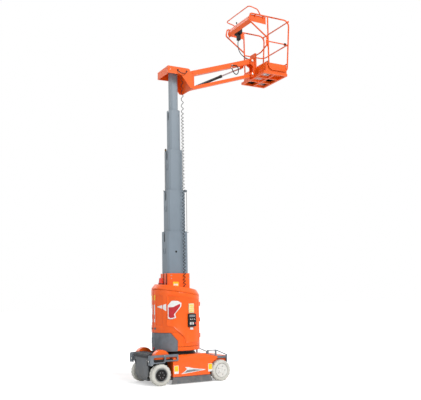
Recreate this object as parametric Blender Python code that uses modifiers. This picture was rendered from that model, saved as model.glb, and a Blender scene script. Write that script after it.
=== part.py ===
"""Vertical mast lift: a narrow wheeled chassis, a slewing turret, a five stage telescopic mast,
a parallelogram jib and a work basket.  Metres, +Z up, +X the way the jib points.

The sizes below are measured from the middle of the wheelbase (x), the centre plane (y) and the
ground (z).  The last function slides the whole machine along x so that the origin lies on the
ground under the middle of its bounding box.
"""
import bmesh
import bpy
from math import asin, atan2, cos, degrees, pi, radians, sin
from mathutils import Matrix, Vector

# Clearances
SEAT = 0.0003            # faces that touch
RUNNING = 0.0055         # pieces that pass each other
PIN_PLAY = 0.0005        # round a pin or a shaft

# Wheels
WHEELBASE = 1.22
OVERALL_WIDTH = 1.00
TYRE_RADIUS = 0.1905
TYRE_WIDTH = 0.127
RIM_RADIUS = 0.122
SPINDLE_RADIUS = 0.028
WHEEL_SIDES = 28
WHEEL_Y = OVERALL_WIDTH / 2 - TYRE_WIDTH / 2
STEER_X = -WHEELBASE / 2
FIXED_X = WHEELBASE / 2

# Steering
KINGPIN_RADIUS = 0.024
STEER_PIN_X = STEER_X + 0.110
STEER_PIN_Y = WHEEL_Y - 0.100
STEER_PIN_RADIUS = 0.0075
STEER_ROD_Z = 0.092
STEER_ROD_RADIUS = 0.010
STEER_EYE_HEIGHT = 0.021

# Chassis
SLOPE_START_X = 0.300
HULL_HALF_WIDTH = 0.47
HULL_FRONT_X = -0.372
HULL_SHOULDER_X = 0.54
HULL_REAR_X = 0.80
HULL_BOTTOM_Z = 0.137
HULL_SHOULDER_Z = 0.455
HULL_TOP_Z = 0.515
HULL_REAR_Z = 0.45
ARCH_GAP = 0.045
NECK_HALF_WIDTH = 0.235
NOSE_X = -0.80
NOSE_TOP_Z = 0.50
HUMP_RADIUS = 0.155
HUMP_Z = 0.47
HUMP_X = -0.585
PAN_THICKNESS = 0.060
GUARD_THICKNESS = 0.012
GUARD_Y = 0.449
GUARD_FRONT_X = -0.358
GUARD_REAR_X = 0.396
GUARD_BOTTOM_Z = 0.014
GUARD_FLARE = 0.040       # of each end, from top to bottom
GUARD_TRAVEL = 0.05
BEAM_BOTTOM_Z = 0.425
BEAM_TOP_Z = 0.460
NECK_BOTTOM_Z = 0.120
RAIL_TOP_Z = 0.565
RAIL_Y = 0.385
BRACKET_THICKNESS = 0.025

# Slewing turret
SLEW_X = -0.09
RING_OUTER = 0.36
RING_INNER = 0.30
RING_HEIGHT = 0.055
TURRET_RADIUS = 0.45
FACET_ANGLE = 5.0        # of the curved walls
DECK_RADIUS = 0.420
DECK_THICKNESS = 0.035
COVER_THICKNESS = 0.014
COVER_BOTTOM_Z = 0.66
SKIRT_BOTTOM_Z = 0.585
COVER_TOP_Z = 1.635      # where the wall meets the cap, on the slew axis
CAP_HEIGHT = 0.10
CAP_CHAMFER = 0.052
CAP_CHAMFER_HEIGHT = 0.078
DECK_TOP_Z = HULL_TOP_Z + RING_HEIGHT + 2 * SEAT + DECK_THICKNESS
TOP_SLOPE = 0.16         # fall of the cap for each metre along +X
DOOR_HINGE_ANGLE = 35.0  # from +X to the door's hinge edge, degrees
DOOR_REAR_ANGLE = 179.5
HINGE_OFFSET = 0.0115    # of the hinge pins outside the turret's wall
HINGE_RADIUS = 0.009
HINGE_PIN_RADIUS = 0.005
HINGE_HEIGHTS = (0.84, 1.13, 1.42)
COUNTERWEIGHT_TOP_Z = 0.905
COUNTERWEIGHT_ANGLE = 111.0

# Telescopic mast: the fixed outer section and five stages inside one another
MAST_LENGTH = 1.36
OUTER_TOP_Z = 1.998
OUTER_X = 0.480
OUTER_Y = 0.340
OUTER_WALL = 0.010
STAGE_COUNT = 5
STAGE_EXPOSED = 0.800
STAGE_WALL = 0.008
STAGE_STEP_X = 0.068
STAGE_STEP_Y = 0.034
MAST_CORNER = 0.030
PAD_DROP = 0.012         # of the guide pads below a section's top
PAD_HEIGHT = 0.060

# Mast head
HEAD_REAR_X = -0.310
HEAD_FRONT_TOP_X = 0.165
HEAD_FRONT_LOW_X = 0.250
HEAD_HALF_WIDTH = 0.250
HEAD_TOP_Z = 6.030
HEAD_SKIRT_Z = 5.885
HEAD_LOW_Z = 5.640
HEAD_PLATE = 0.016

# Jib
JIB_LENGTH = 1.500
JIB_ANGLE = 18.6
JIB_GAP = 0.295
JIB_PIN_X = 0.315
JIB_PIN_Z = 5.725
JIB_PIN_RADIUS = 0.015
UPPER_ARM_WIDTH = 0.120
UPPER_ARM_HEIGHT = 0.100
UPPER_ARM_WALL = 0.006
LOWER_ARM_WIDTH = 0.090
LOWER_ARM_ABOVE = 0.022
LOWER_ARM_BELOW = 0.043
LOWER_ARM_WALL = 0.006
ARM_END = 0.030
EAR_THICKNESS = 0.020

# Jib cylinder, on the far side of the arms
CYLINDER_Y = 0.130
CYLINDER_EYE_ALONG = 1.300
CYLINDER_EYE_BELOW = 0.068
BARREL_RADIUS = 0.028
BARREL_LENGTH = 0.880
ROD_RADIUS = 0.016
ROD_INSIDE = 0.480
CYLINDER_PIN_RADIUS = 0.014
EYE_WIDTH = 0.030

# Basket
FLOOR_BACK_X = 1.785
FLOOR_FRONT_X = 2.375
FLOOR_HALF_WIDTH = 0.455
FLOOR_BOTTOM_Z = 6.130
FLOOR_DEPTH = 0.050
FLOOR_MEMBER = 0.040
GRATING_THICKNESS = 0.008
TOE_BOARD_HEIGHT = 0.190
TOE_BOARD_THICKNESS = 0.004
TUBE_RADIUS = 0.016
RAIL_HALF_WIDTH_TOP = 0.482
RAIL_HALF_WIDTH_LOW = 0.4755
RAIL_TOP = 7.360
RAIL_MID = 6.830
RAIL_LOW = 6.225
BACK_RAIL_Z = 6.645
HOOP_Z = 7.520
POST_BACK_X = 1.900
POST_FRONT_LOW_X = 2.360
POST_FRONT_TOP_X = 2.444
RAIL_BACK_X = 1.475
COLUMN_BACK_X = 1.805
COLUMN_DEPTH = 0.036
COLUMN_TOP_Z = 6.675
TOE_BACK_X = COLUMN_BACK_X + COLUMN_DEPTH + SEAT
CONSOLE_HALF_WIDTH = RAIL_HALF_WIDTH_TOP - 0.024
GATE_Y = -0.435
GATE_Z = 6.840

# Curly cable
COIL_X = 0.012
COIL_Y = -0.203
COIL_RADIUS = 0.026

COLOURS = {
    "orange": (1.0, 0.19, 0.02, 0.45, 0.0),
    "mast_grey": (0.20, 0.26, 0.31, 0.45, 0.2),
    "chassis_grey": (0.17, 0.20, 0.22, 0.55, 0.2),
    "tyre_white": (0.78, 0.76, 0.72, 0.75, 0.0),
    "rim_white": (0.70, 0.70, 0.68, 0.40, 0.1),
    "black": (0.015, 0.015, 0.017, 0.50, 0.0),
    "steel": (0.60, 0.61, 0.62, 0.30, 1.0),
    "grating": (0.62, 0.62, 0.60, 0.45, 0.8),
    "red_lens": (0.75, 0.01, 0.01, 0.20, 0.0),
}


def clear_scene():
    for obj in list(bpy.data.objects):
        bpy.data.objects.remove(obj, do_unlink=True)


def material(name):
    found = bpy.data.materials.get(name)
    if found:
        return found
    red, green, blue, roughness, metallic = COLOURS[name]
    made = bpy.data.materials.new(name)
    made.use_nodes = True
    shader = made.node_tree.nodes["Principled BSDF"]
    shader.inputs["Base Color"].default_value = (red, green, blue, 1.0)
    shader.inputs["Roughness"].default_value = roughness
    shader.inputs["Metallic"].default_value = metallic
    return made


def mesh_object(name, mesh):
    obj = bpy.data.objects.new(name, mesh)
    bpy.context.scene.collection.objects.link(obj)
    return obj


def evaluated(obj):
    bpy.context.view_layer.update()
    return bpy.data.meshes.new_from_object(obj.evaluated_get(bpy.context.evaluated_depsgraph_get()))


def made_solid(obj, name):
    """The curve obj as a closed mesh object, with its caps welded and its faces pointing out."""
    mesh = evaluated(obj)
    mesh.transform(obj.matrix_world)
    bpy.data.objects.remove(obj, do_unlink=True)
    grid = bmesh.new()
    grid.from_mesh(mesh)
    bmesh.ops.remove_doubles(grid, verts=grid.verts, dist=1e-6)
    bmesh.ops.recalc_face_normals(grid, faces=grid.faces)
    grid.to_mesh(mesh)
    grid.free()
    return mesh_object(name, mesh)


def open_edges(mesh):
    grid = bmesh.new()
    grid.from_mesh(mesh)
    count = sum(1 for edge in grid.edges if len(edge.link_faces) != 2)
    grid.free()
    return count


def in_triangles(obj):
    grid = bmesh.new()
    grid.from_mesh(obj.data)
    bmesh.ops.triangulate(grid, faces=grid.faces)
    grid.to_mesh(obj.data)
    grid.free()


def flat_faces_merged(mesh):
    grid = bmesh.new()
    grid.from_mesh(mesh)
    bmesh.ops.dissolve_limit(grid, angle_limit=radians(0.05), verts=grid.verts, edges=grid.edges)
    grid.to_mesh(mesh)
    grid.free()
    return mesh


def joined(first, others, operation):
    """first with the others added or taken away by exact Booleans; the others are used up.

    Where many-sided faces leave a gap, the step is done again with both solids in triangles."""
    for other in others:
        step = first.modifiers.new("shape", "BOOLEAN")
        step.operation = operation
        step.solver = "EXACT"
        step.object = other
        mesh = evaluated(first)
        if open_edges(mesh):
            in_triangles(first)
            in_triangles(other)
            mesh = evaluated(first)
            merged = flat_faces_merged(mesh.copy())
            mesh = mesh if open_edges(merged) else merged
        first.modifiers.clear()
        first.data = mesh
        bpy.data.objects.remove(other, do_unlink=True)
    return first


def united(first, *others):
    return joined(first, others, "UNION")


def cut(first, *others):
    return joined(first, others, "DIFFERENCE")


def kept_inside(first, *others):
    return joined(first, others, "INTERSECT")


def block(low, high, name="block"):
    """A box between two corners."""
    grid = bmesh.new()
    bmesh.ops.create_cube(grid, size=1.0)
    low, high = Vector(low), Vector(high)
    bmesh.ops.scale(grid, vec=high - low, verts=grid.verts)
    bmesh.ops.translate(grid, vec=(low + high) / 2, verts=grid.verts)
    mesh = bpy.data.meshes.new(name)
    grid.to_mesh(mesh)
    grid.free()
    return mesh_object(name, mesh)


def round_bar(start, end, radius, sides=24, end_radius=None, name="bar"):
    """A cylinder, or a cone where end_radius is given, from start to end."""
    start, end = Vector(start), Vector(end)
    grid = bmesh.new()
    bmesh.ops.create_cone(grid, cap_ends=True, segments=sides, radius1=radius,
                          radius2=radius if end_radius is None else end_radius,
                          depth=(end - start).length)
    turn = (end - start).to_track_quat("Z", "Y").to_matrix().to_4x4()
    bmesh.ops.transform(grid, matrix=Matrix.Translation((start + end) / 2) @ turn, verts=grid.verts)
    mesh = bpy.data.meshes.new(name)
    grid.to_mesh(mesh)
    grid.free()
    return mesh_object(name, mesh)


def rounded(points, radius, steps=4, closed=True):
    """The outline through points with each corner replaced by an arc.

    radius is one number, or one for each point; 0 keeps the corner sharp."""
    points = [Vector(p) for p in points]
    count = len(points)
    out = []
    for i, corner in enumerate(points):
        size = radius[i] if isinstance(radius, (list, tuple)) else radius
        if size <= 0 or (not closed and i in (0, count - 1)):
            out.append(corner)
            continue
        before = (points[i - 1] - corner).normalized()
        after = (points[(i + 1) % count] - corner).normalized()
        half = before.angle(after) / 2
        reach = size / max(sin(half) / cos(half), 1e-6)
        centre = corner + (before + after).normalized() * (size / sin(half))
        first = corner + before * reach - centre
        last = corner + after * reach - centre
        sweep = first.angle(last)
        for k in range(steps + 1):
            t = k / steps
            out.append(centre + (first * sin((1 - t) * sweep) + last * sin(t * sweep)) / sin(sweep))
    return out


def arc(centre, radius, start, end, steps):
    """Points on a circle from angle start to end, in degrees."""
    return [Vector((centre[0] + radius * cos(radians(start + (end - start) * k / steps)),
                    centre[1] + radius * sin(radians(start + (end - start) * k / steps))))
            for k in range(steps + 1)]


AXES = {
    "Z": Matrix.Identity(4),
    "Y": Matrix(((1, 0, 0, 0), (0, 0, -1, 0), (0, 1, 0, 0), (0, 0, 0, 1))),
    "X": Matrix(((0, 0, 1, 0), (1, 0, 0, 0), (0, 1, 0, 0), (0, 0, 0, 1))),
}


def prism(outlines, low, high, axis="Z", name="prism"):
    """A flat outline, with any further outlines as holes, drawn out along an axis.

    The outline's two numbers are (x, y) for Z, (x, z) for Y and (y, z) for X."""
    if not isinstance(outlines[0][0], (list, tuple, Vector)):
        outlines = [outlines]
    curve = bpy.data.curves.new(name, "CURVE")
    curve.dimensions = "2D"
    curve.fill_mode = "BOTH"
    curve.extrude = (high - low) / 2
    for outline in outlines:
        spline = curve.splines.new("POLY")
        spline.points.add(len(outline) - 1)
        spline.use_cyclic_u = True
        for point, place in zip(spline.points, outline):
            point.co = (place[0], place[1], 0.0, 1.0)
    obj = bpy.data.objects.new(name, curve)
    bpy.context.scene.collection.objects.link(obj)
    middle = (low + high) / 2
    obj.matrix_world = AXES[axis] @ Matrix.Translation((0, 0, -middle if axis == "Y" else middle))
    bpy.context.view_layer.update()
    return made_solid(obj, name)


def tube(points, radius=TUBE_RADIUS, corner=0.0, closed=False, detail=2, name="tube", steps=4):
    """A bent tube through points, with its corners rounded to one radius or to one for each point."""
    path = rounded(points, corner, steps, closed) if corner else [Vector(p) for p in points]
    curve = bpy.data.curves.new(name, "CURVE")
    curve.dimensions = "3D"
    curve.bevel_depth = radius
    curve.bevel_resolution = detail
    curve.use_fill_caps = True
    spline = curve.splines.new("POLY")
    spline.points.add(len(path) - 1)
    spline.use_cyclic_u = closed
    for point, place in zip(spline.points, path):
        point.co = (place[0], place[1], place[2], 1.0)
    obj = bpy.data.objects.new(name, curve)
    bpy.context.scene.collection.objects.link(obj)
    bpy.context.view_layer.update()
    return made_solid(obj, name)


def turned(profile, centre, axis="Y", sides=32, name="turned"):
    """A closed profile of (radius, along) pairs turned round an axis through centre.

    The profile's outer side runs from high along to low along."""
    grid = bmesh.new()
    corners = [grid.verts.new((r, 0.0, a)) for r, a in profile]
    closed = min(r for r, a in profile) > 0
    for i in range(len(corners) - (0 if closed else 1)):
        grid.edges.new((corners[i], corners[(i + 1) % len(corners)]))
    mesh = bpy.data.meshes.new(name)
    grid.to_mesh(mesh)
    grid.free()
    obj = mesh_object(name, mesh)
    screw = obj.modifiers.new("turn", "SCREW")
    screw.steps = sides
    screw.render_steps = sides
    screw.use_merge_vertices = True
    screw.merge_threshold = 0.0001
    turn = {"Z": Matrix.Identity(4), "Y": Matrix.Rotation(-pi / 2, 4, "X"),
            "-Y": Matrix.Rotation(pi / 2, 4, "X")}[axis]
    obj.matrix_world = Matrix.Translation(centre) @ turn
    return made_solid(obj, name)


def mirrored(obj):
    """obj reflected in the centre plane y = 0."""
    grid = bmesh.new()
    grid.from_mesh(obj.data)
    bmesh.ops.scale(grid, vec=(1, -1, 1), verts=grid.verts)
    bmesh.ops.reverse_faces(grid, faces=grid.faces)
    mesh = bpy.data.meshes.new(obj.name)
    grid.to_mesh(mesh)
    grid.free()
    return mesh_object(obj.name, mesh)


def both_sides(half):
    """A node for each side: half is the one at -Y, the right of a driver who looks along +X."""
    return {"R": half, "L": mirrored(half)}


class Machine:
    """Keeps the empties that carry each body, and the finished nodes."""

    def __init__(self):
        self.root = self.empty("machine", (0, 0, 0), None)

    def empty(self, name, place, parent):
        obj = bpy.data.objects.new(name + "_pivot", None)
        obj.empty_display_size = 0.1
        bpy.context.scene.collection.objects.link(obj)
        obj.location = place
        if parent:
            obj.parent = parent
            obj.matrix_parent_inverse = parent.matrix_world.inverted()
        bpy.context.view_layer.update()
        return obj

    def add(self, name, solid, colour, pivot):
        """Names the solid, paints it and hangs it on its body's pivot, with its origin there."""
        solid.name = name
        solid.data.name = name
        solid.data.materials.clear()
        solid.data.materials.append(material(colour))
        solid.data.shade_smooth()
        solid.data.set_sharp_from_angle(angle=radians(30))
        place = pivot.matrix_world.translation
        solid.data.transform(Matrix.Translation(-place))
        solid.parent = pivot
        solid.matrix_parent_inverse = Matrix.Identity(4)
        bpy.context.view_layer.update()
        return solid


# Chassis

def hull():
    """The painted box frame: sloped shoulders, open arches, a well for the mast and guard slots."""
    shoulder_in = HULL_HALF_WIDTH - (HULL_TOP_Z - HULL_SHOULDER_Z)
    section = [(-HULL_HALF_WIDTH, HULL_BOTTOM_Z), (HULL_HALF_WIDTH, HULL_BOTTOM_Z),
               (HULL_HALF_WIDTH, HULL_SHOULDER_Z), (shoulder_in, HULL_TOP_Z),
               (-shoulder_in, HULL_TOP_Z), (-HULL_HALF_WIDTH, HULL_SHOULDER_Z)]
    body = prism(section, HULL_FRONT_X, HULL_REAR_X, "X", "hull")
    rear_half = WHEEL_Y - TYRE_WIDTH / 2 - 0.013
    side = [(HULL_FRONT_X - 0.05, HULL_BOTTOM_Z - 0.05), (HULL_REAR_X + 0.05, HULL_BOTTOM_Z - 0.05),
            (HULL_REAR_X + 0.05, HULL_REAR_Z - 0.005), (HULL_SHOULDER_X, HULL_REAR_Z),
            (SLOPE_START_X, HULL_TOP_Z), (SLOPE_START_X - 0.01, HULL_TOP_Z + 0.05),
            (HULL_FRONT_X - 0.05, HULL_TOP_Z + 0.05)]
    body = kept_inside(body, prism(side, -1, 1, "Y"))
    arch_radius = TYRE_RADIUS + ARCH_GAP
    for sign in (-1, 1):
        outer, inner = sorted((sign * 0.6, sign * rear_half))
        body = cut(body, round_bar((FIXED_X, outer, TYRE_RADIUS), (FIXED_X, inner, TYRE_RADIUS),
                                   arch_radius, 38),
                   block((HULL_SHOULDER_X, outer, 0), (HULL_REAR_X + 0.1, inner, HULL_REAR_Z + 0.1)))
        slot = sorted((sign * (GUARD_Y - GUARD_THICKNESS / 2 - RUNNING),
                       sign * (GUARD_Y + GUARD_THICKNESS / 2 + RUNNING)))
        body = cut(body, block((GUARD_FRONT_X - GUARD_FLARE, slot[0], HULL_BOTTOM_Z - 0.05),
                               (GUARD_REAR_X + GUARD_FLARE, slot[1], HULL_BOTTOM_Z + GUARD_TRAVEL + 0.012)))
    well = round_bar((SLEW_X, 0, HULL_TOP_Z - 0.16), (SLEW_X, 0, 1), RING_INNER, 48)
    axle_bore = round_bar((FIXED_X, -1, TYRE_RADIUS), (FIXED_X, 1, TYRE_RADIUS),
                          SPINDLE_RADIUS + SEAT, 24)
    return cut(body, well, axle_bore)


def deck_height(x):
    """The height of the hull's top at x: flat, then falling towards the fixed wheels."""
    if x <= SLOPE_START_X:
        return HULL_TOP_Z
    share = (x - SLOPE_START_X) / (HULL_SHOULDER_X - SLOPE_START_X)
    return HULL_TOP_Z - share * (HULL_TOP_Z - HULL_REAR_Z)


def belly_pan():
    """The grey tray under the hull, between the guards."""
    half = GUARD_Y - GUARD_THICKNESS / 2 - RUNNING
    rear = FIXED_X - TYRE_RADIUS - 0.02
    outline = [(HULL_FRONT_X, -half + 0.05), (HULL_FRONT_X + 0.05, -half), (rear, -half), (rear, -0.30),
               (HULL_REAR_X - 0.04, -0.30), (HULL_REAR_X - 0.04, 0.30), (rear, 0.30), (rear, half),
               (HULL_FRONT_X + 0.05, half), (HULL_FRONT_X, half - 0.05)]
    top = HULL_BOTTOM_Z - SEAT
    return prism(outline, top - PAN_THICKNESS, top, "Z", "pan")


def front_frame():
    """The neck between the steered wheels, the top beam that holds the kingpins and the steering barrel."""
    rear = HULL_FRONT_X - SEAT
    neck = block((NOSE_X + 0.04, -NECK_HALF_WIDTH, NECK_BOTTOM_Z), (rear, NECK_HALF_WIDTH, BEAM_TOP_Z))
    beam = block((NOSE_X + 0.04, -HULL_HALF_WIDTH, BEAM_BOTTOM_Z), (rear, HULL_HALF_WIDTH, BEAM_TOP_Z))
    frame = united(neck, beam)
    for y in (-0.17, 0.17):
        frame = united(frame, block((STEER_PIN_X - 0.028, y - 0.025, STEER_ROD_Z - 0.010),
                                    (STEER_PIN_X + 0.028, y + 0.025, NECK_BOTTOM_Z + 0.01)))
    frame = united(frame, round_bar((STEER_PIN_X, -0.205, STEER_ROD_Z), (STEER_PIN_X, 0.205, STEER_ROD_Z), 0.021))
    for sign in (-1, 1):
        frame = cut(frame, round_bar((STEER_X, sign * WHEEL_Y, 0.3), (STEER_X, sign * WHEEL_Y, 0.6),
                                     KINGPIN_RADIUS + PIN_PLAY))
    return cut(frame, round_bar((STEER_PIN_X, -1, STEER_ROD_Z), (STEER_PIN_X, 1, STEER_ROD_Z),
                                STEER_ROD_RADIUS + PIN_PLAY, 16))


def nose_panel():
    """The grey front panel, narrower below, bent back to the lower pan."""
    front = NOSE_X + 0.012
    panel = prism([(-0.37, NOSE_TOP_Z - 0.02), (-0.37, 0.40), (-0.30, 0.36), (-0.29, 0.15),
                   (0.29, 0.15), (0.30, 0.36), (0.37, 0.40), (0.37, NOSE_TOP_Z - 0.02)],
                  front, NOSE_X + 0.04 - SEAT, "X")
    rear = STEER_PIN_X - 0.035
    chin = prism([(front, 0.152), (front + 0.03, 0.075), (rear, 0.075), (rear, NECK_BOTTOM_Z - SEAT),
                  (NOSE_X + 0.04, NECK_BOTTOM_Z - SEAT), (NOSE_X + 0.04 - 2 * SEAT, 0.152)],
                 -NECK_HALF_WIDTH + 0.01, NECK_HALF_WIDTH - 0.01, "Y")
    return united(panel, chin)


def nose_cover():
    """The dark rounded cover across the top of the nose."""
    low = BEAM_TOP_Z + SEAT
    step = NOSE_TOP_Z - 0.02 + SEAT
    back = -0.60
    outline = rounded([(NOSE_X - 0.010, step), (NOSE_X - 0.010, 0.556), (back, 0.556), (back, low),
                       (NOSE_X + 0.045, low), (NOSE_X + 0.045, step)],
                      [0, 0.045, 0.02, 0, 0, 0], 5)
    return prism(outline, -0.325, 0.325, "Y", "cover")


def steer_hump():
    """The orange half drum over a steered wheel's kingpin."""
    low = BEAM_TOP_Z + SEAT
    lean = degrees(asin((HUMP_Z - low) / HUMP_RADIUS))
    outline = arc((HUMP_X, HUMP_Z), HUMP_RADIUS, -lean, 180 + lean, 16)
    return prism(outline, -0.455, -0.330, "Y", "hump")


def steer_bracket():
    """The thick grey side plate by a steered wheel, with its window, rear loop and front return."""
    outer = -(HULL_HALF_WIDTH + SEAT)
    front = NOSE_X - 0.02
    outline = rounded([(front, 0.36), (front, 0.54), (-0.273, 0.54), (-0.273, 0.42), (-0.525, 0.42),
                       (-0.545, 0.395), (-0.755, 0.395), (-0.785, 0.36)],
                      [0.008, 0.03, 0.012, 0.012, 0.01, 0.01, 0.01, 0.008], 3)
    window = rounded([(-0.76, 0.415), (-0.76, 0.50), (-0.55, 0.50), (-0.55, 0.415)], 0.022, 3)
    loop = rounded([(-0.52, 0.44), (-0.52, 0.497), (-0.30, 0.497), (-0.30, 0.44)], 0.014, 3)
    side = prism([outline, window, loop], outer - BRACKET_THICKNESS, outer, "Y")
    ear = block((front + 0.0035, outer - 0.0125, 0.3665), (NOSE_X + 0.0115, -0.375, 0.5335))
    ear = cut(ear, block((front - 0.01, -0.452, 0.40), (NOSE_X + 0.05, -0.430, 0.44)))
    return united(side, ear)


def slew_ring():
    ring = [(RING_INNER, 0), (RING_INNER, RING_HEIGHT), (RING_OUTER - 0.012, RING_HEIGHT),
            (RING_OUTER - 0.012, RING_HEIGHT * 0.55), (RING_OUTER, RING_HEIGHT * 0.45), (RING_OUTER, 0)]
    return turned(ring[::-1], (SLEW_X, 0, HULL_TOP_Z + SEAT), "Z", 48, "ring")


def deck_rail():
    """The plate rail by a fixed wheel: two windows, a sloping top and a rear post."""
    rear = HULL_REAR_X - 0.008
    def seat(x):
        return deck_height(x) + 2 * SEAT
    outline = rounded([(0.340, seat(0.340)), (0.372, RAIL_TOP_Z), (0.560, RAIL_TOP_Z), (rear, 0.465),
                       (rear, 0.325), (rear - 0.024, 0.325), (rear - 0.024, 0.405), (0.600, 0.405),
                       (HULL_SHOULDER_X, seat(HULL_SHOULDER_X))],
                      [0, 0.012, 0.012, 0.012, 0.004, 0.004, 0.01, 0.01, 0], 3)
    first = rounded([(0.392, seat(0.392) + 0.014), (0.402, RAIL_TOP_Z - 0.016), (0.535, RAIL_TOP_Z - 0.016),
                     (0.535, seat(0.535) + 0.014)], 0.006, 3)
    second = rounded([(0.565, 0.455), (0.565, RAIL_TOP_Z - 0.020), (rear - 0.022, 0.458), (rear - 0.022, 0.440)],
                     0.005, 3)
    plate = prism([outline, first, second], -RAIL_Y - 0.010, -RAIL_Y + 0.010, "Y", "rail")
    side = WHEEL_Y - TYRE_WIDTH / 2 - 0.013
    pad = block((0.63, -RAIL_Y + 0.005, 0.41), (0.72, -side - SEAT, 0.434))
    return united(plate, pad)


def pothole_guard():
    """The plate that drops beside the pan when the basket goes up, with its slide pads."""
    top = HULL_BOTTOM_Z - 0.004
    outline = [(GUARD_FRONT_X, top), (GUARD_REAR_X, top), (GUARD_REAR_X + GUARD_FLARE, GUARD_BOTTOM_Z),
               (GUARD_FRONT_X - GUARD_FLARE, GUARD_BOTTOM_Z)]
    inner = -(GUARD_Y - GUARD_THICKNESS / 2)
    plate = prism(outline, -GUARD_Y - GUARD_THICKNESS / 2, inner, "Y")
    pads = [block((x - 0.03, inner - 0.002, 0.088), (x + 0.03, inner + RUNNING - 0.0005, 0.118))
            for x in (GUARD_FRONT_X + 0.12, GUARD_REAR_X - 0.12)]
    return united(plate, *pads)


def rear_axle():
    reach = WHEEL_Y + 0.02
    shaft = round_bar((FIXED_X, -reach, TYRE_RADIUS), (FIXED_X, reach, TYRE_RADIUS), SPINDLE_RADIUS)
    inner = WHEEL_Y - TYRE_WIDTH / 2 - 0.013 + SEAT
    for sign in (-1, 1):
        ends = sorted((sign * inner, sign * (inner + 0.006)))
        shaft = united(shaft, round_bar((FIXED_X, ends[0], TYRE_RADIUS), (FIXED_X, ends[1], TYRE_RADIUS), 0.05))
    return shaft


# Steering and wheels

def knuckle():
    """Kingpin, top plate over the tyre, upright, motor housing, spindle and steering lever (at -Y)."""
    y = -WHEEL_Y
    face = y + TYRE_WIDTH / 2 + 0.010
    top = BEAM_BOTTOM_Z - 0.003
    outline = [(STEER_X + 0.05, face + 0.03), (STEER_X - 0.05, face + 0.03), (STEER_X - 0.05, face - 0.005)]
    outline += arc((STEER_X, y), 0.028, 180, 360, 8) + [(STEER_X + 0.05, face - 0.005)]
    plate = prism(outline, TYRE_RADIUS * 2 + 0.010, top, "Z")
    upright = block((STEER_X - 0.048, face, TYRE_RADIUS - 0.07), (STEER_X + 0.048, face + 0.029, top - 0.002))
    motor = round_bar((STEER_X, face + 0.001, TYRE_RADIUS), (STEER_X, face + 0.085, TYRE_RADIUS), 0.078, 28)
    kingpin = round_bar((STEER_X, y, TYRE_RADIUS * 2 + 0.014), (STEER_X, y, BEAM_TOP_Z - 0.001), KINGPIN_RADIUS)
    collar = round_bar((STEER_X, y, top - 0.005), (STEER_X, y, BEAM_BOTTOM_Z - PIN_PLAY), 0.027)
    spindle = round_bar((STEER_X, face + 0.01, TYRE_RADIUS), (STEER_X, y - 0.050, TYRE_RADIUS), SPINDLE_RADIUS)
    pin_y = -STEER_PIN_Y
    low, high = STEER_ROD_Z + STEER_EYE_HEIGHT / 2 + 0.003, TYRE_RADIUS - 0.060
    lever = prism(rounded([(STEER_X + 0.035, face + 0.003), (STEER_PIN_X + 0.015, pin_y - 0.015),
                           (STEER_PIN_X + 0.015, pin_y + 0.015), (STEER_X + 0.035, face + 0.026)],
                          [0, 0.012, 0.012, 0], 3), low, high, "Z")
    pin = round_bar((STEER_PIN_X, pin_y, high - 0.01), (STEER_PIN_X, pin_y, high + 0.006), STEER_PIN_RADIUS, 16)
    return united(plate, upright, motor, kingpin, collar, spindle, lever, pin)


def steer_rod():
    """The rod of the double-ended steering cylinder, with an eye under each lever."""
    bar = round_bar((STEER_PIN_X, -STEER_PIN_Y, STEER_ROD_Z), (STEER_PIN_X, STEER_PIN_Y, STEER_ROD_Z),
                    STEER_ROD_RADIUS, 16)
    half = STEER_EYE_HEIGHT / 2
    for sign in (-1, 1):
        y = sign * STEER_PIN_Y
        bar = united(bar, round_bar((STEER_PIN_X, y, STEER_ROD_Z - half), (STEER_PIN_X, y, STEER_ROD_Z + half),
                                    0.015, 20))
        bar = cut(bar, round_bar((STEER_PIN_X, y, 0), (STEER_PIN_X, y, 0.2), STEER_PIN_RADIUS + PIN_PLAY, 16))
    return bar


def tyre(x):
    """A solid tyre with rounded shoulders and a shallow outer groove (at -Y)."""
    half = TYRE_WIDTH / 2
    inner = RIM_RADIUS + SEAT
    profile = [(inner, half - 0.012), (inner + 0.012, half), (TYRE_RADIUS - 0.022, half),
               (TYRE_RADIUS - 0.006, half - 0.012), (TYRE_RADIUS, half - 0.030),
               (TYRE_RADIUS, -half + 0.030), (TYRE_RADIUS - 0.006, -half + 0.012),
               (TYRE_RADIUS - 0.022, -half), (inner + 0.012, -half), (inner, -half + 0.012)]
    return turned(profile, (x, -WHEEL_Y, TYRE_RADIUS), "-Y", WHEEL_SIDES, "tyre")


def drive_rim():
    """The steered wheel's rim: a deep barrel, a hub disc and the motor's round boss."""
    half = TYRE_WIDTH / 2
    bore = SPINDLE_RADIUS + PIN_PLAY
    profile = [(bore, half - 0.008), (0.055, half - 0.008), (0.062, half - 0.014), (0.078, half - 0.014),
               (0.084, half - 0.022), (RIM_RADIUS - 0.016, half - 0.022), (RIM_RADIUS - 0.008, half - 0.006),
               (RIM_RADIUS, half - 0.006), (RIM_RADIUS, -half + 0.006), (RIM_RADIUS - 0.010, -half + 0.006),
               (RIM_RADIUS - 0.012, half - 0.040), (bore, half - 0.040)]
    return turned(profile, (STEER_X, -WHEEL_Y, TYRE_RADIUS), "-Y", WHEEL_SIDES, "rim")


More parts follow.
